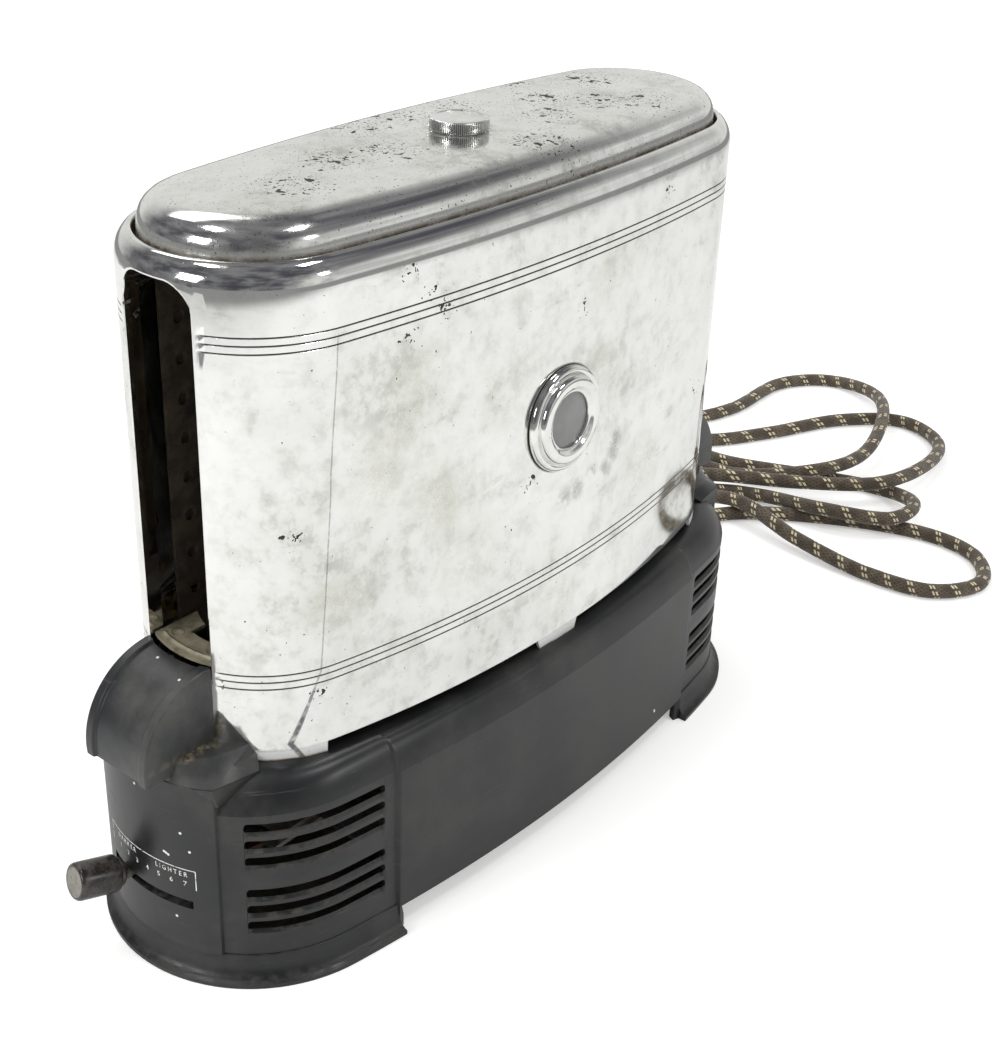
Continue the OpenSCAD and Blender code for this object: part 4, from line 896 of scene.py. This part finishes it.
def body_marks(made, place):
    """Dirt in the grooves and round the window, one long runnel, two rubbed places and rust at the seams."""
    x, y, z = (node(made, "SeparateXYZ", {0: place}, out=k) for k in range(3))
    line = None
    for g in groove_z:
        here = between(made, maths(made, "ABSOLUTE", maths(made, "SUBTRACT", z, g * mm)), 0.34 * mm, 0.14 * mm)
        line = here if line is None else maths(made, "MAXIMUM", line, here)
    clear = between(made, maths(made, "ABSOLUTE", y), (slot_half + 1.5) * mm, (slot_half + 3.5) * mm)
    line = maths(made, "MULTIPLY", line, clear)
    ring = node(made, "VectorMath", {0: node(made, "CombineXYZ", {0: x, 2: z}), 1: (0, 0, window_z * mm)}, out=1, operation="DISTANCE")
    ring = maths(made, "MULTIPLY", between(made, ring, 19.9 * mm, 19.0 * mm), maths(made, "LESS_THAN", y, 0.0))
    course = maths(made, "MULTIPLY_ADD", z, 0.067, (-107.2 - 0.067 * 115.9) * mm)
    course = maths(made, "MULTIPLY_ADD", maths(made, "MINIMUM", maths(made, "SUBTRACT", z, 112 * mm), 0.0), 0.30, course)
    course = maths(made, "ADD", course, maths(made, "MULTIPLY", maths(made, "SUBTRACT", noise(made, place, 30.0, 3.0), 0.5), 1.2 * mm))
    hook = maths(made, "MULTIPLY", maths(made, "MAXIMUM", maths(made, "SUBTRACT", 86 * mm, z), 0.0), 0.9)
    away = maths(made, "ABSOLUTE", maths(made, "SUBTRACT", x, maths(made, "ADD", course, hook)))
    width = between(made, z, 118 * mm, 86 * mm, 0.35 * mm, 1.25 * mm)
    runnel = between(made, maths(made, "DIVIDE", away, width), 1.0, 0.4)
    runnel = maths(made, "MULTIPLY", runnel, between(made, z, 110 * mm, 100 * mm, 0.5, 0.95))
    runnel = maths(made, "MULTIPLY", runnel, between(made, noise(made, place, 330.0, 4.0, 0.7), 0.30, 0.55, 0.35, 1.0))
    runnel = maths(made, "MULTIPLY", runnel, maths(made, "MULTIPLY", maths(made, "LESS_THAN", y, 0.0), between(made, z, 228 * mm, 222 * mm)))
    rubbed = near_points(made, place, [(33, -50, 149), (32, -50, 144), (27, -50, 139), (18, -50, 139.5), (10, -51, 137.5), (2, -51, 136.5)], 1, 6)
    rubbed = maths(made, "MULTIPLY", rubbed, between(made, noise(made, place, 110.0, 5.0, 0.7), 0.40, 0.62, 0.0, 0.6))
    tarnish = near_points(made, place, [
        (-77, -44, 191), (-69, -45, 202), (-85, -43, 173), (21, -49, 175), (52, -47, 128), (0, -51, 104), (-47, -49, 131),
        (-99, -39, 135), (-28, -49, 186), (-60, -47, 158), (30, -48, 212), (-30, 49, 180), (50, 46, 150),
    ], 3, 19)
    tarnish = maths(made, "MULTIPLY", tarnish, between(made, noise(made, place, 48.0, 8.0, 0.72), 0.36, 0.70, 0.0, 0.6))
    worn_foot = between(made, z, 85.0 * mm, 82.5 * mm, 0.0, 0.9)
    seam = between(made, z, 80.9 * mm, 80.1 * mm)
    seam = maths(made, "MULTIPLY", seam, between(made, noise(made, place, 90.0, 4.0), 0.3, 0.55))
    start = maths(made, "MULTIPLY", between(made, maths(made, "ABSOLUTE", y), 19.5 * mm, 16.5 * mm), between(made, noise(made, place, 260.0, 5.0, 0.7), 0.56, 0.66))
    lows = maths(made, "MULTIPLY", maths(made, "LESS_THAN", maths(made, "ABSOLUTE", maths(made, "SUBTRACT", z, 110 * mm)), 4 * mm), start)
    highs = maths(made, "MULTIPLY", maths(made, "LESS_THAN", maths(made, "ABSOLUTE", maths(made, "SUBTRACT", z, 224 * mm)), 5 * mm), start)
    return [
        (tarnish, (0.50, 0.50, 0.41), 0.2), (worn_foot, (0.78, 0.785, 0.77), 0.4), (runnel, (0.10, 0.10, 0.11), 0.35), (rubbed, (0.25, 0.25, 0.24), 0.35), (line, (0.05, 0.045, 0.038), 0.55),
        (ring, (0.06, 0.055, 0.045), 0.5), (seam, (0.11, 0.06, 0.025), 0.7),
        (maths(made, "MAXIMUM", lows, highs), (0.10, 0.075, 0.045), 0.7),
    ]


def within(size, x, y):
    """True inside a four-centred oval, in millimetres."""
    a, b, r = size
    radius, g = side_arc(size)
    if abs(x) > (a - r) + r * math.sin(math.radians(g)):
        return math.hypot(abs(x) - (a - r), y) < r
    return math.hypot(x, abs(y) + radius - b) < radius


shell.data.materials.append(chrome("worn_chrome", 0.85, [
    (-64, -45, 229), (-57, -46, 223), (-72, -45, 217), (-72, -44, 237), (-115, -35, 162), (-17, -50, 151), (62, -45, 236),
    (97, -42, 147), (10, -49, 205), (-108, -39, 104), (60, 47, 200), (-40, 49, 140), (134, 12, 180),
], 9, body_marks))
# The lip's inner wall and ledge round the cover: brown dirt, and painted shade that darkens the narrow gap.
gap_dirt_and_shade = material_named("gap_dirt_and_shade", Roughness=0.8)
gap_place = object_place(gap_dirt_and_shade)
to_shader(gap_dirt_and_shade, Base_Color=mixed(gap_dirt_and_shade, between(gap_dirt_and_shade, noise(gap_dirt_and_shade, gap_place, 160.0, 6.0, 0.7), 0.35, 0.65),
                                     (0.022, 0.016, 0.012), (0.16, 0.10, 0.05)))
shell.data.materials.append(gap_dirt_and_shade)
for face in shell.data.polygons:
    c = face.center / mm
    if c.z > 242.5 and within(inset(shell_top, 5.95), c.x, c.y):
        face.material_index = 1
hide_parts("body_shell")
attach(shell, "frame")


# Top cover: pressed from the same plated sheet, with a wide rounded shoulder and a flat top.
# It drops into the body's lip, rests on the ledge, and is held by one thumbscrew.
cover_top = 258.5
cover_profile = [(7, 244.3), (7, 246), (7.05, 248), (7.2, 250), (7.6, 251.9), (8.3, 253.5), (9.4, 254.95), (11, 256.3),
                 (12.8, 257.25), (14.8, 257.95), (17, 258.35), (19.5, 258.5), (24, 258.5), (32, 258.5)]
cover = wrap("top_cover", [oval_points(inset(shell_top, d), z) for d, z in cover_profile])


def fill_top():
    bpy.ops.mesh.select_mode(type="EDGE")
    mesh = bmesh.from_edit_mesh(cover.data)
    for part in list(mesh.faces) + list(mesh.edges) + list(mesh.verts):
        part.select_set(False)
    for edge in mesh.edges:
        if edge.is_boundary and edge.verts[0].co.z > 258 * mm:
            edge.select_set(True)
    bmesh.update_edit_mesh(cover.data)
    bpy.ops.mesh.edge_face_add()


edit(cover, fill_top)
finished(cover, ("SOLIDIFY", {"thickness": 1.2 * mm, "offset": -1.0, "use_even_offset": False}))
cut(cover, placed(turned("screw_hole", [(0, 250), (2.6, 250), (2.6, 262), (0, 262)], 48), Matrix.Identity(4)))
shade(cover, 32)


def cover_marks(made, place):
    """Brown dirt on the cover's lower wall and a darker ring round the thumbscrew."""
    z = node(made, "SeparateXYZ", {0: place}, out=2)
    wall = maths(made, "MULTIPLY", between(made, z, 250.6 * mm, 247.2 * mm), between(made, noise(made, place, 120.0, 5.0, 0.7), 0.25, 0.6, 0.45, 1.0))
    darker_ring = maths(made, "MULTIPLY", near_points(made, place, [(0, 0, cover_top)], 10.5, 14.5),
                  between(made, noise(made, place, 200.0, 5.0, 0.7), 0.4, 0.6, 0.1, 0.6))
    return [(wall, (0.085, 0.06, 0.038), 0.55), (darker_ring, (0.13, 0.12, 0.105), 0.5)]


cover.data.materials.append(chrome("pitted_chrome", 1.0, [
    (-1, 25, cover_top), (-22, 24, cover_top), (36, -10, cover_top), (52, 6, cover_top), (64, -8, cover_top),
    (77, -20, cover_top), (63, 33, cover_top), (-57, 4, cover_top), (9, -28, cover_top), (-36, -2, cover_top),
    (-84, -8, cover_top), (88, 12, cover_top), (20, 20, cover_top),
], 24, cover_marks, 0.10, [(150.0, 0.80, 0.66), (1200.0, 0.69, 0.64)]))
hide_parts("top_cover")
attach(cover, "cover")


# Thumbscrew: a plated knurled nut head on a stem that screws into the bridge under the cover.
# Its face is turned flat with a slightly raised rim.
thumb_r, thumb_z = 10.3, 258.55
teeth = 90
thumb_profile = [(2.5, -22), (2.5, -0.02), (9.6, 0), (9.75, 0.1), (10.2, 0.6), (10.3, 0.9), (10.3, 3.4), (10.2, 3.7), (9.8, 4.15),
                 (9.5, 4.3), (8.6, 4.3), (8.3, 4.2), (8.2, 4.05), (4, 4.0), (0, 4.0)]
rings = [[(0.0, 0.0, (thumb_z - 22) * mm)] * (teeth * 4)]
for r, z in thumb_profile:
    rings.append([
        ((r - (0.32 if r > 10 and j % 4 == 0 else 0)) * math.cos(2 * math.pi * j / (teeth * 4)) * mm,
         (r - (0.32 if r > 10 and j % 4 == 0 else 0)) * math.sin(2 * math.pi * j / (teeth * 4)) * mm, (thumb_z + z) * mm)
        for j in range(teeth * 4)
    ])
thumbscrew = wrap("thumbscrew", rings)
edit(thumbscrew, lambda: bpy.ops.mesh.normals_make_consistent(inside=False))
shade(thumbscrew, 28)


def knurl_marks(made, place):
    """Dark dirt and painted shade in the knurl's notches."""
    x, y, z = (node(made, "SeparateXYZ", {0: place}, out=k) for k in range(3))
    turn = maths(made, "MULTIPLY", maths(made, "ARCTAN2", y, x), teeth / (2 * math.pi))
    notch = between(made, maths(made, "ABSOLUTE", maths(made, "SUBTRACT", maths(made, "FRACT", maths(made, "ADD", turn, 0.5)), 0.5)), 0.30, 0.12)
    reach = node(made, "VectorMath", {0: node(made, "CombineXYZ", {0: x, 1: y})}, out=1, operation="LENGTH")
    notch = maths(made, "MULTIPLY", notch, maths(made, "GREATER_THAN", reach, 9.85 * mm))
    return [(notch, (0.09, 0.08, 0.07), 0.5)]


thumbscrew.data.materials.append(chrome("thumbscrew_chrome", 0.9, [(6, 4, 262.5), (-5, -6, 262.5)], 4, knurl_marks, 0.26))
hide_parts("thumbscrew")
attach(thumbscrew, "thumbscrew")


# Window: a plated, stepped bezel screwed through the body from outside, with a round glass in it.
# The glass is dull with years of heat; its grey colour is painted shade for the dark inside behind it.
bezel = turned("window_bezel", rounded([
    (12, -3.2), (13.6, -3.2), (13.6, 0.02), (19, 0.02), (19, 1.2), (18.5, 2.2), (17.5, 2.8), (16.4, 2.3), (16, 1.8), (15.8, 3.4),
    (15.2, 4.3), (14, 4.6), (12.4, 4.6), (11, 3.6), (10.05, 3.4), (10, 2.4), (12, 2.4), (12, -3.2),
], 0.5, 4), 128)
placed(bezel, window_matrix)
shade(bezel, 30)
bezel.data.materials.append(chrome("bezel_chrome", 0.4, [(9, -53, 178), (-6, -53, 184)], 4))
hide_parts("window_bezel")
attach(bezel, "frame")

glass = turned("window_glass", [(0, 0.4), (11.97, 0.4), (11.97, 2.38), (10, 2.38), (9, 2.5), (7, 2.65), (4, 2.78), (2, 2.82), (0, 2.84)], 96)
placed(glass, window_matrix)
shade(glass, 30)
# Grey colour: painted shade for the dark inside seen through the glass.
dull_glass_painted_shade = material_named("heat_dulled_glass_painted_shade", Roughness=0.22, IOR=1.5)
dull_place = object_place(dull_glass_painted_shade)
to_shader(dull_glass_painted_shade, Base_Color=mixed(dull_glass_painted_shade, noise(dull_glass_painted_shade, dull_place, 120.0, 5.0), (0.13, 0.135, 0.13), (0.26, 0.265, 0.26)))
glass.data.materials.append(dull_glass_painted_shade)
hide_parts("window_lens")
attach(glass, "frame")


# Entry and exit plates: steel tongues between the slots and the walking beam, browned by heat.
# Each has a ridge stamped along its rounded front and two round dimples.
def slot_plate(name, end):
    rings = []
    for k in range(37):
        r = 40 - 0.45 * k
        ring = []
        for j in range(49):
            y = -14.2 + 28.4 * j / 48
            x = shell_cx + math.sqrt(r * r - y * y)
            ridge = 0.75 * math.exp(-(((r - 37.2) / 0.55) ** 2)) * min(1, max(0, (13 - abs(y)) / 2))
            spot = min(math.hypot(x - 126, y - s * 8.5) for s in (-1, 1))
            dimple = 0.45 * math.exp(-(((spot - 2.0) / 0.45) ** 2)) - 0.4 * math.exp(-((spot / 1.5) ** 2))
            ring.append((end * x * mm, y * mm, (114.2 + ridge + dimple) * mm))
        rings.append(ring)
    plate = wrap(name, rings, closed=False)
    delete_faces(plate, lambda c: abs(c.x) < 122.5 and abs(c.y) < 6)
    if end < 0:
        edit(plate, lambda: bpy.ops.mesh.flip_normals())
    finished(plate, ("SOLIDIFY", {"thickness": 1.15 * mm, "offset": -1.0}))
    shade(plate, 40)
    return plate


browned = material_named("heat_browned_steel", Metallic=0.2)
browned_place = object_place(browned)
browned_stain = between(browned, noise(browned, browned_place, 170.0, 6.0, 0.65), 0.35, 0.7)
to_shader(
    browned,
    Base_Color=mixed(browned, browned_stain, (0.34, 0.31, 0.22), (0.15, 0.13, 0.085)),
    Roughness=between(browned, browned_stain, 0.0, 1.0, 0.38, 0.62),
    Normal=bump(browned, noise(browned, browned_place, 800.0), 0.2, 0.1 * mm),
)
for name, end in (("entry_plate", -1), ("exit_plate", 1)):
    plate = slot_plate(name, end)
    plate.data.materials.append(browned)
    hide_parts(name)
    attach(plate, "frame")


# Control knob: turned from brown-black hardwood-filled plastic, on a dark metal ferrule at the lever's tip.
# It is pushed to and fro along the dial to set how brown the bread gets.
knob_matrix = (
    Matrix.Translation(Vector((-100.5, 0, 0)) * mm)
    @ Matrix.Rotation(math.radians(-10.9), 4, "Z")
    @ Matrix.Translation(Vector((-55.8, 0, 31.6)) * mm)
    @ Matrix.Rotation(math.radians(-90 + 13), 4, "Y")
)
knob = turned("control_knob", [
    (1.6, 10), (1.6, 2.2), (5.9, 2.2), (6.25, 2.35), (6.45, 2.7), (6.5, 3.2), (6.5, 8), (6.5, 15.6), (6.42, 16.2), (6.2, 16.75),
    (5.8, 17.1), (5.3, 17.2), (4.6, 17.15), (3, 17.0), (1.2, 16.95), (0, 16.95), (0, 10), (1.6, 10),
], 96)
placed(knob, knob_matrix)
shade(knob, 35)
knob_plastic = material_named("knob_plastic", IOR=1.5)
knob_place = object_place(knob_plastic)
knob_wear = between(knob_plastic, noise(knob_plastic, knob_place, 210.0, 6.0, 0.7), 0.42, 0.72)
knob_brown = mixed(knob_plastic, knob_wear, (0.020, 0.016, 0.014), (0.085, 0.078, 0.070))
knob_face = near_points(knob_plastic, knob_place, [tuple((knob_matrix @ Vector((0, 0, 17 * mm))) / mm)], 4.9, 5.3)
to_shader(
    knob_plastic,
    Base_Color=mixed(knob_plastic, knob_face, knob_brown, mixed(knob_plastic, knob_wear, (0.20, 0.19, 0.16), (0.11, 0.10, 0.085))),
    Roughness=between(knob_plastic, knob_wear, 0.0, 1.0, 0.26, 0.55),
)
knob.data.materials.append(knob_plastic)
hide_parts("control_knob")
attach(knob, "lever")

ferrule = turned("knob_ferrule", rounded([(1.6, 0), (4.6, 0), (5, 0.5), (5, 1.9), (4.7, 2.2), (1.6, 2.2), (1.6, 0)], 0.2), 64)
placed(ferrule, knob_matrix)
shade(ferrule)
dark_steel = material_named("oily_steel", Metallic=1.0)
dark_place = object_place(dark_steel)
dark_stain = between(dark_steel, noise(dark_steel, dark_place, 130.0, 6.0, 0.6), 0.35, 0.7)
to_shader(
    dark_steel,
    Base_Color=mixed(dark_steel, dark_stain, (0.30, 0.29, 0.27), (0.13, 0.115, 0.095)),
    Roughness=between(dark_steel, dark_stain, 0.0, 1.0, 0.36, 0.62),
)
ferrule.data.materials.append(dark_steel)
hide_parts("knob_ferrule")
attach(ferrule, "lever")


# Dial: fine white lines, numbers and two words printed on the end panel round the lever's slot.
# The print is worn thin.
def on_panel(y, z, lift=0.06):
    reach = 53 + lift
    return Vector((-(100.5 + math.sqrt(reach * reach - y * y)), y, z)) * mm


def lettering(name, words, height, y, z, width=None):
    """Words as flat print on the end panel, centred at a place; they read from left to right with falling Y."""
    bpy.ops.object.select_all(action="DESELECT")
    bpy.ops.object.text_add()
    text = bpy.context.object
    text.name = name
    text.data.body = words
    text.data.size = height / 0.73
    text.data.offset = 0.008
    text.data.space_character = 1.55
    text.data.align_x = "CENTER"
    text.data.align_y = "CENTER"
    text.data.resolution_u = 3
    bpy.ops.object.convert(target="MESH")
    text = bpy.context.object
    edit(text, lambda: bpy.ops.mesh.subdivide(number_cuts=1))
    across = [v.co.x for v in text.data.vertices]
    middle = (min(across) + max(across)) / 2
    stretch = width / (max(across) - min(across)) if width else 1
    for v in text.data.vertices:
        v.co = on_panel(y - (v.co.x - middle) * stretch, z + v.co.y)
    text.data.update()
    return text


dial_parts = [lettering("dial_words", "LIGHTER", 2.0, -12.5, 43.3, 12.3), lettering("dial_words", "DARKER", 2.0, 9.2, 43.3, 11.4)]
for count in range(1, 8):
    dial_parts.append(lettering("dial_number", str(count), 2.0, 5.2 * (4 - count) - 2.1, 39.5))


def dial_line(corners, width=0.28):
    """A printed line through corners given as (y, z) on the end panel."""
    rings = []
    for (y0, z0), (y1, z1) in zip(corners, corners[1:]):
        along = Vector((y1 - y0, z1 - z0)).normalized()
        aside = Vector((-along.y, along.x)) * width / 2
        steps = max(2, int(abs(y1 - y0) * 1.5))
        strip = []
        for k in range(steps + 1):
            y, z = y0 + (y1 - y0) * k / steps, z0 + (z1 - z0) * k / steps
            strip.append([on_panel(y - aside.x, z - aside.y), on_panel(y + aside.x, z + aside.y)])
        rings.append(wrap("dial_line", strip, closed=False))
    return rings


dial_parts += dial_line([(20.2, 37.6), (20.2, 45.5), (-21.4, 45.5), (-21.4, 37.6)], 0.32)
only(dial_parts[0])
for part in dial_parts:
    part.select_set(True)
bpy.context.view_layer.objects.active = dial_parts[0]
bpy.ops.object.join()
dial = bpy.context.object
dial.name = "dial_print"
worn_print = material_named("worn_white_print", Roughness=0.6)
print_place = object_place(worn_print)
to_shader(worn_print, Base_Color=mixed(worn_print, between(worn_print, noise(worn_print, print_place, 500.0, 4.0), 0.52, 0.72), (0.80, 0.80, 0.78), (0.14, 0.14, 0.135)))
dial.data.materials.append(worn_print)
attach(dial, "frame")


# Inner works: plain steel sheet for frames, plates and brackets, and oiled steel for shafts and beam.
# They are the frame's own pieces and keep their shapes.
sheet_steel = material_named("zinc_plated_steel", Metallic=1.0)
sheet_place = object_place(sheet_steel)
sheet_stain = between(sheet_steel, noise(sheet_steel, sheet_place, 60.0, 6.0, 0.6), 0.4, 0.7)
to_shader(
    sheet_steel,
    Base_Color=mixed(sheet_steel, sheet_stain, (0.46, 0.45, 0.42), (0.24, 0.22, 0.19)),
    Roughness=between(sheet_steel, sheet_stain, 0.0, 1.0, 0.34, 0.58),
)
sooty = material_named("sooty_steel", Metallic=0.4)
sooty_place = object_place(sooty)
to_shader(
    sooty,
    Base_Color=mixed(sooty, between(sooty, noise(sooty, sooty_place, 120.0, 6.0, 0.65), 0.35, 0.7), (0.10, 0.078, 0.055), (0.035, 0.029, 0.023)),
    Roughness=between(sooty, noise(sooty, sooty_place, 90.0), 0.3, 0.7, 0.5, 0.75),
)
mica = material_named("mica_board", Roughness=0.45)
mica_place = object_place(mica)
to_shader(mica, Base_Color=mixed(mica, noise(mica, mica_place, 70.0, 8.0, 0.7), (0.40, 0.31, 0.17), (0.20, 0.14, 0.07)))
ribbon = material_named("heating_ribbon", Metallic=1.0)
ribbon_place = object_place(ribbon)
to_shader(ribbon, Base_Color=mixed(ribbon, noise(ribbon, ribbon_place, 150.0), (0.30, 0.25, 0.20), (0.15, 0.12, 0.10)),
          Roughness=between(ribbon, noise(ribbon, ribbon_place, 200.0), 0.3, 0.7, 0.45, 0.65))
varnish = material_named("varnished_winding", Roughness=0.35)
varnish_place = object_place(varnish, (1, 1, 1))
to_shader(varnish, Base_Color=mixed(varnish, noise(varnish, varnish_place, 300.0), (0.22, 0.075, 0.03), (0.10, 0.035, 0.015)))
brown_board = material_named("brown_laminate", Roughness=0.5)
board_place = object_place(brown_board)
to_shader(brown_board, Base_Color=mixed(brown_board, noise(brown_board, board_place, 240.0, 6.0), (0.11, 0.055, 0.026), (0.06, 0.030, 0.015)))

finishes = {
    sheet_steel: ["bottom_plate", "deck_plate", "case_screws", "side_frame_front", "side_frame_rear", "reflector_front",
                  "reflector_rear", "element_brackets", "cover_bridge", "gear_studs", "motor_bolts", "bezel_nut", "lever_pivot"],
    dark_steel: ["drive_shaft", "idler_crank", "walking_beam", "motor_stator", "motor_rotor", "control_lever"],
    sooty: ["guard_frame_front", "guard_frame_rear"],
    mica: ["element_board_front", "element_board_rear"],
    ribbon: ["element_ribbon_front", "element_ribbon_rear"],
    brass: ["bearing_bushes", "drive_gear", "reduction_gear_a", "reduction_gear_b", "rotor_pinion", "tap_studs"],
    varnish: ["motor_coil"],
    brown_board: ["tap_plate", "terminal_block"],
}
cad_nodes = {o.name: o for o in bpy.context.scene.objects if o.type == "MESH"}
for finish, names in finishes.items():
    for name in names:
        cad_nodes[name].data.materials.clear()
        cad_nodes[name].data.materials.append(finish)


# Table: a wide white floor with the object's soft shadow on it, in a white room with soft lamps.
# What the plate mirrors is darker past the table's edge and overhead, as it was where the toaster stood.
bpy.ops.object.select_all(action="DESELECT")
bpy.ops.mesh.primitive_plane_add(size=12)
floor = bpy.context.object
floor.name = "floor"
paper = bpy.data.materials.new("white_paper")
paper.use_nodes = True
paper.node_tree.nodes.clear()
seen = node(paper, "LightPath", out=0)
mirrored = node(paper, "LightPath", out=3)
matt = node(paper, "BsdfDiffuse", {"Color": (0.80, 0.80, 0.79, 1)})
glow = node(paper, "Emission", {"Color": (1, 1, 1, 1), "Strength": maths(paper, "MULTIPLY", seen, 0.36)})
both = node(paper, "AddShader", {0: matt, 1: glow})
floor_place = node(paper, "TexCoord", out=3)
outward = node(paper, "VectorMath", {0: floor_place, 1: (0.25, 0, 0)}, out=1, operation="DISTANCE")
past_edge = maths(paper, "MULTIPLY", between(paper, outward, 0.79, 1.2), mirrored)
dark_room = node(paper, "Emission", {"Color": (0.30, 0.30, 0.30, 1), "Strength": 1.0})
shown = node(paper, "MixShader", {0: past_edge, 1: both, 2: dark_room})
output = paper.node_tree.nodes.new("ShaderNodeOutputMaterial")
paper.node_tree.links.new(shown, output.inputs["Surface"])
floor.data.materials.append(paper)

world = bpy.data.worlds.new("studio")
bpy.context.scene.world = world
world.use_nodes = True
world.node_tree.nodes.clear()
direction = node(world, "TexCoord", out=0)
rise = node(world, "SeparateXYZ", {0: direction}, out=2)
ahead = node(world, "VectorMath", {0: direction, 1: (0.773, 0.634, 0)}, out=1, operation="DOT_PRODUCT")
bright = maths(world, "MULTIPLY", between(world, ahead, 0.30, 0.85), between(world, rise, 0.78, 0.50))
clutter = between(world, noise(world, direction, 3.5, 5.0, 0.6), 0.35, 0.65)
dim = mixed(world, clutter, (0.07, 0.07, 0.085), (0.24, 0.24, 0.25))
sidelong = between(world, node(world, "VectorMath", {0: direction, 1: (0.634, -0.773, 0)}, out=1, operation="DOT_PRODUCT"), 0.35, 0.9)
sidelong = maths(world, "MULTIPLY", sidelong, between(world, rise, 0.62, 0.25))
dim = mixed(world, sidelong, dim, mixed(world, clutter, (0.46, 0.46, 0.45), (0.78, 0.78, 0.77)))
room = mixed(world, bright, dim, (0.78, 0.78, 0.76))
room = mixed(world, node(world, "LightPath", out=3), (0.78, 0.78, 0.78), room)
room = mixed(world, node(world, "LightPath", out=0), room, (1.0, 1.0, 1.0))
background = node(world, "Background", {"Color": room, "Strength": 1.0})
world_output = world.node_tree.nodes.new("ShaderNodeOutputWorld")
world.node_tree.links.new(background, world_output.inputs["Surface"])


def lamp(name, distance, rise, turn, size, power):
    """A soft rectangular lamp that faces the toaster, from a height and a compass angle in degrees."""
    data = bpy.data.lights.new(name, "AREA")
    data.shape = "RECTANGLE"
    data.size, data.size_y = size
    data.energy = power
    light = bpy.data.objects.new(name, data)
    bpy.context.collection.objects.link(light)
    rise, turn = math.radians(rise), math.radians(turn)
    place = distance * Vector((math.cos(rise) * math.cos(turn), math.cos(rise) * math.sin(turn), math.sin(rise)))
    light.matrix_world = Matrix.Translation(place + Vector((0, 0, 0.15))) @ place.to_track_quat("Z", "Y").to_matrix().to_4x4()


lamp("left_softbox", 1.9, 64, 152, (0.42, 0.20), 6)
lamp("right_softbox", 1.9, 64, -62, (0.42, 0.20), 6)
lamp("window_light", 1.6, 22, 172, (0.45, 0.45), 8)
lamp("small_window", 1.6, 27, -78, (0.22, 0.18), 3)
lamp("rear_light", 2.5, 52, 78, (1.4, 0.8), 8)
bpy.context.scene.view_settings.view_transform = "Standard"
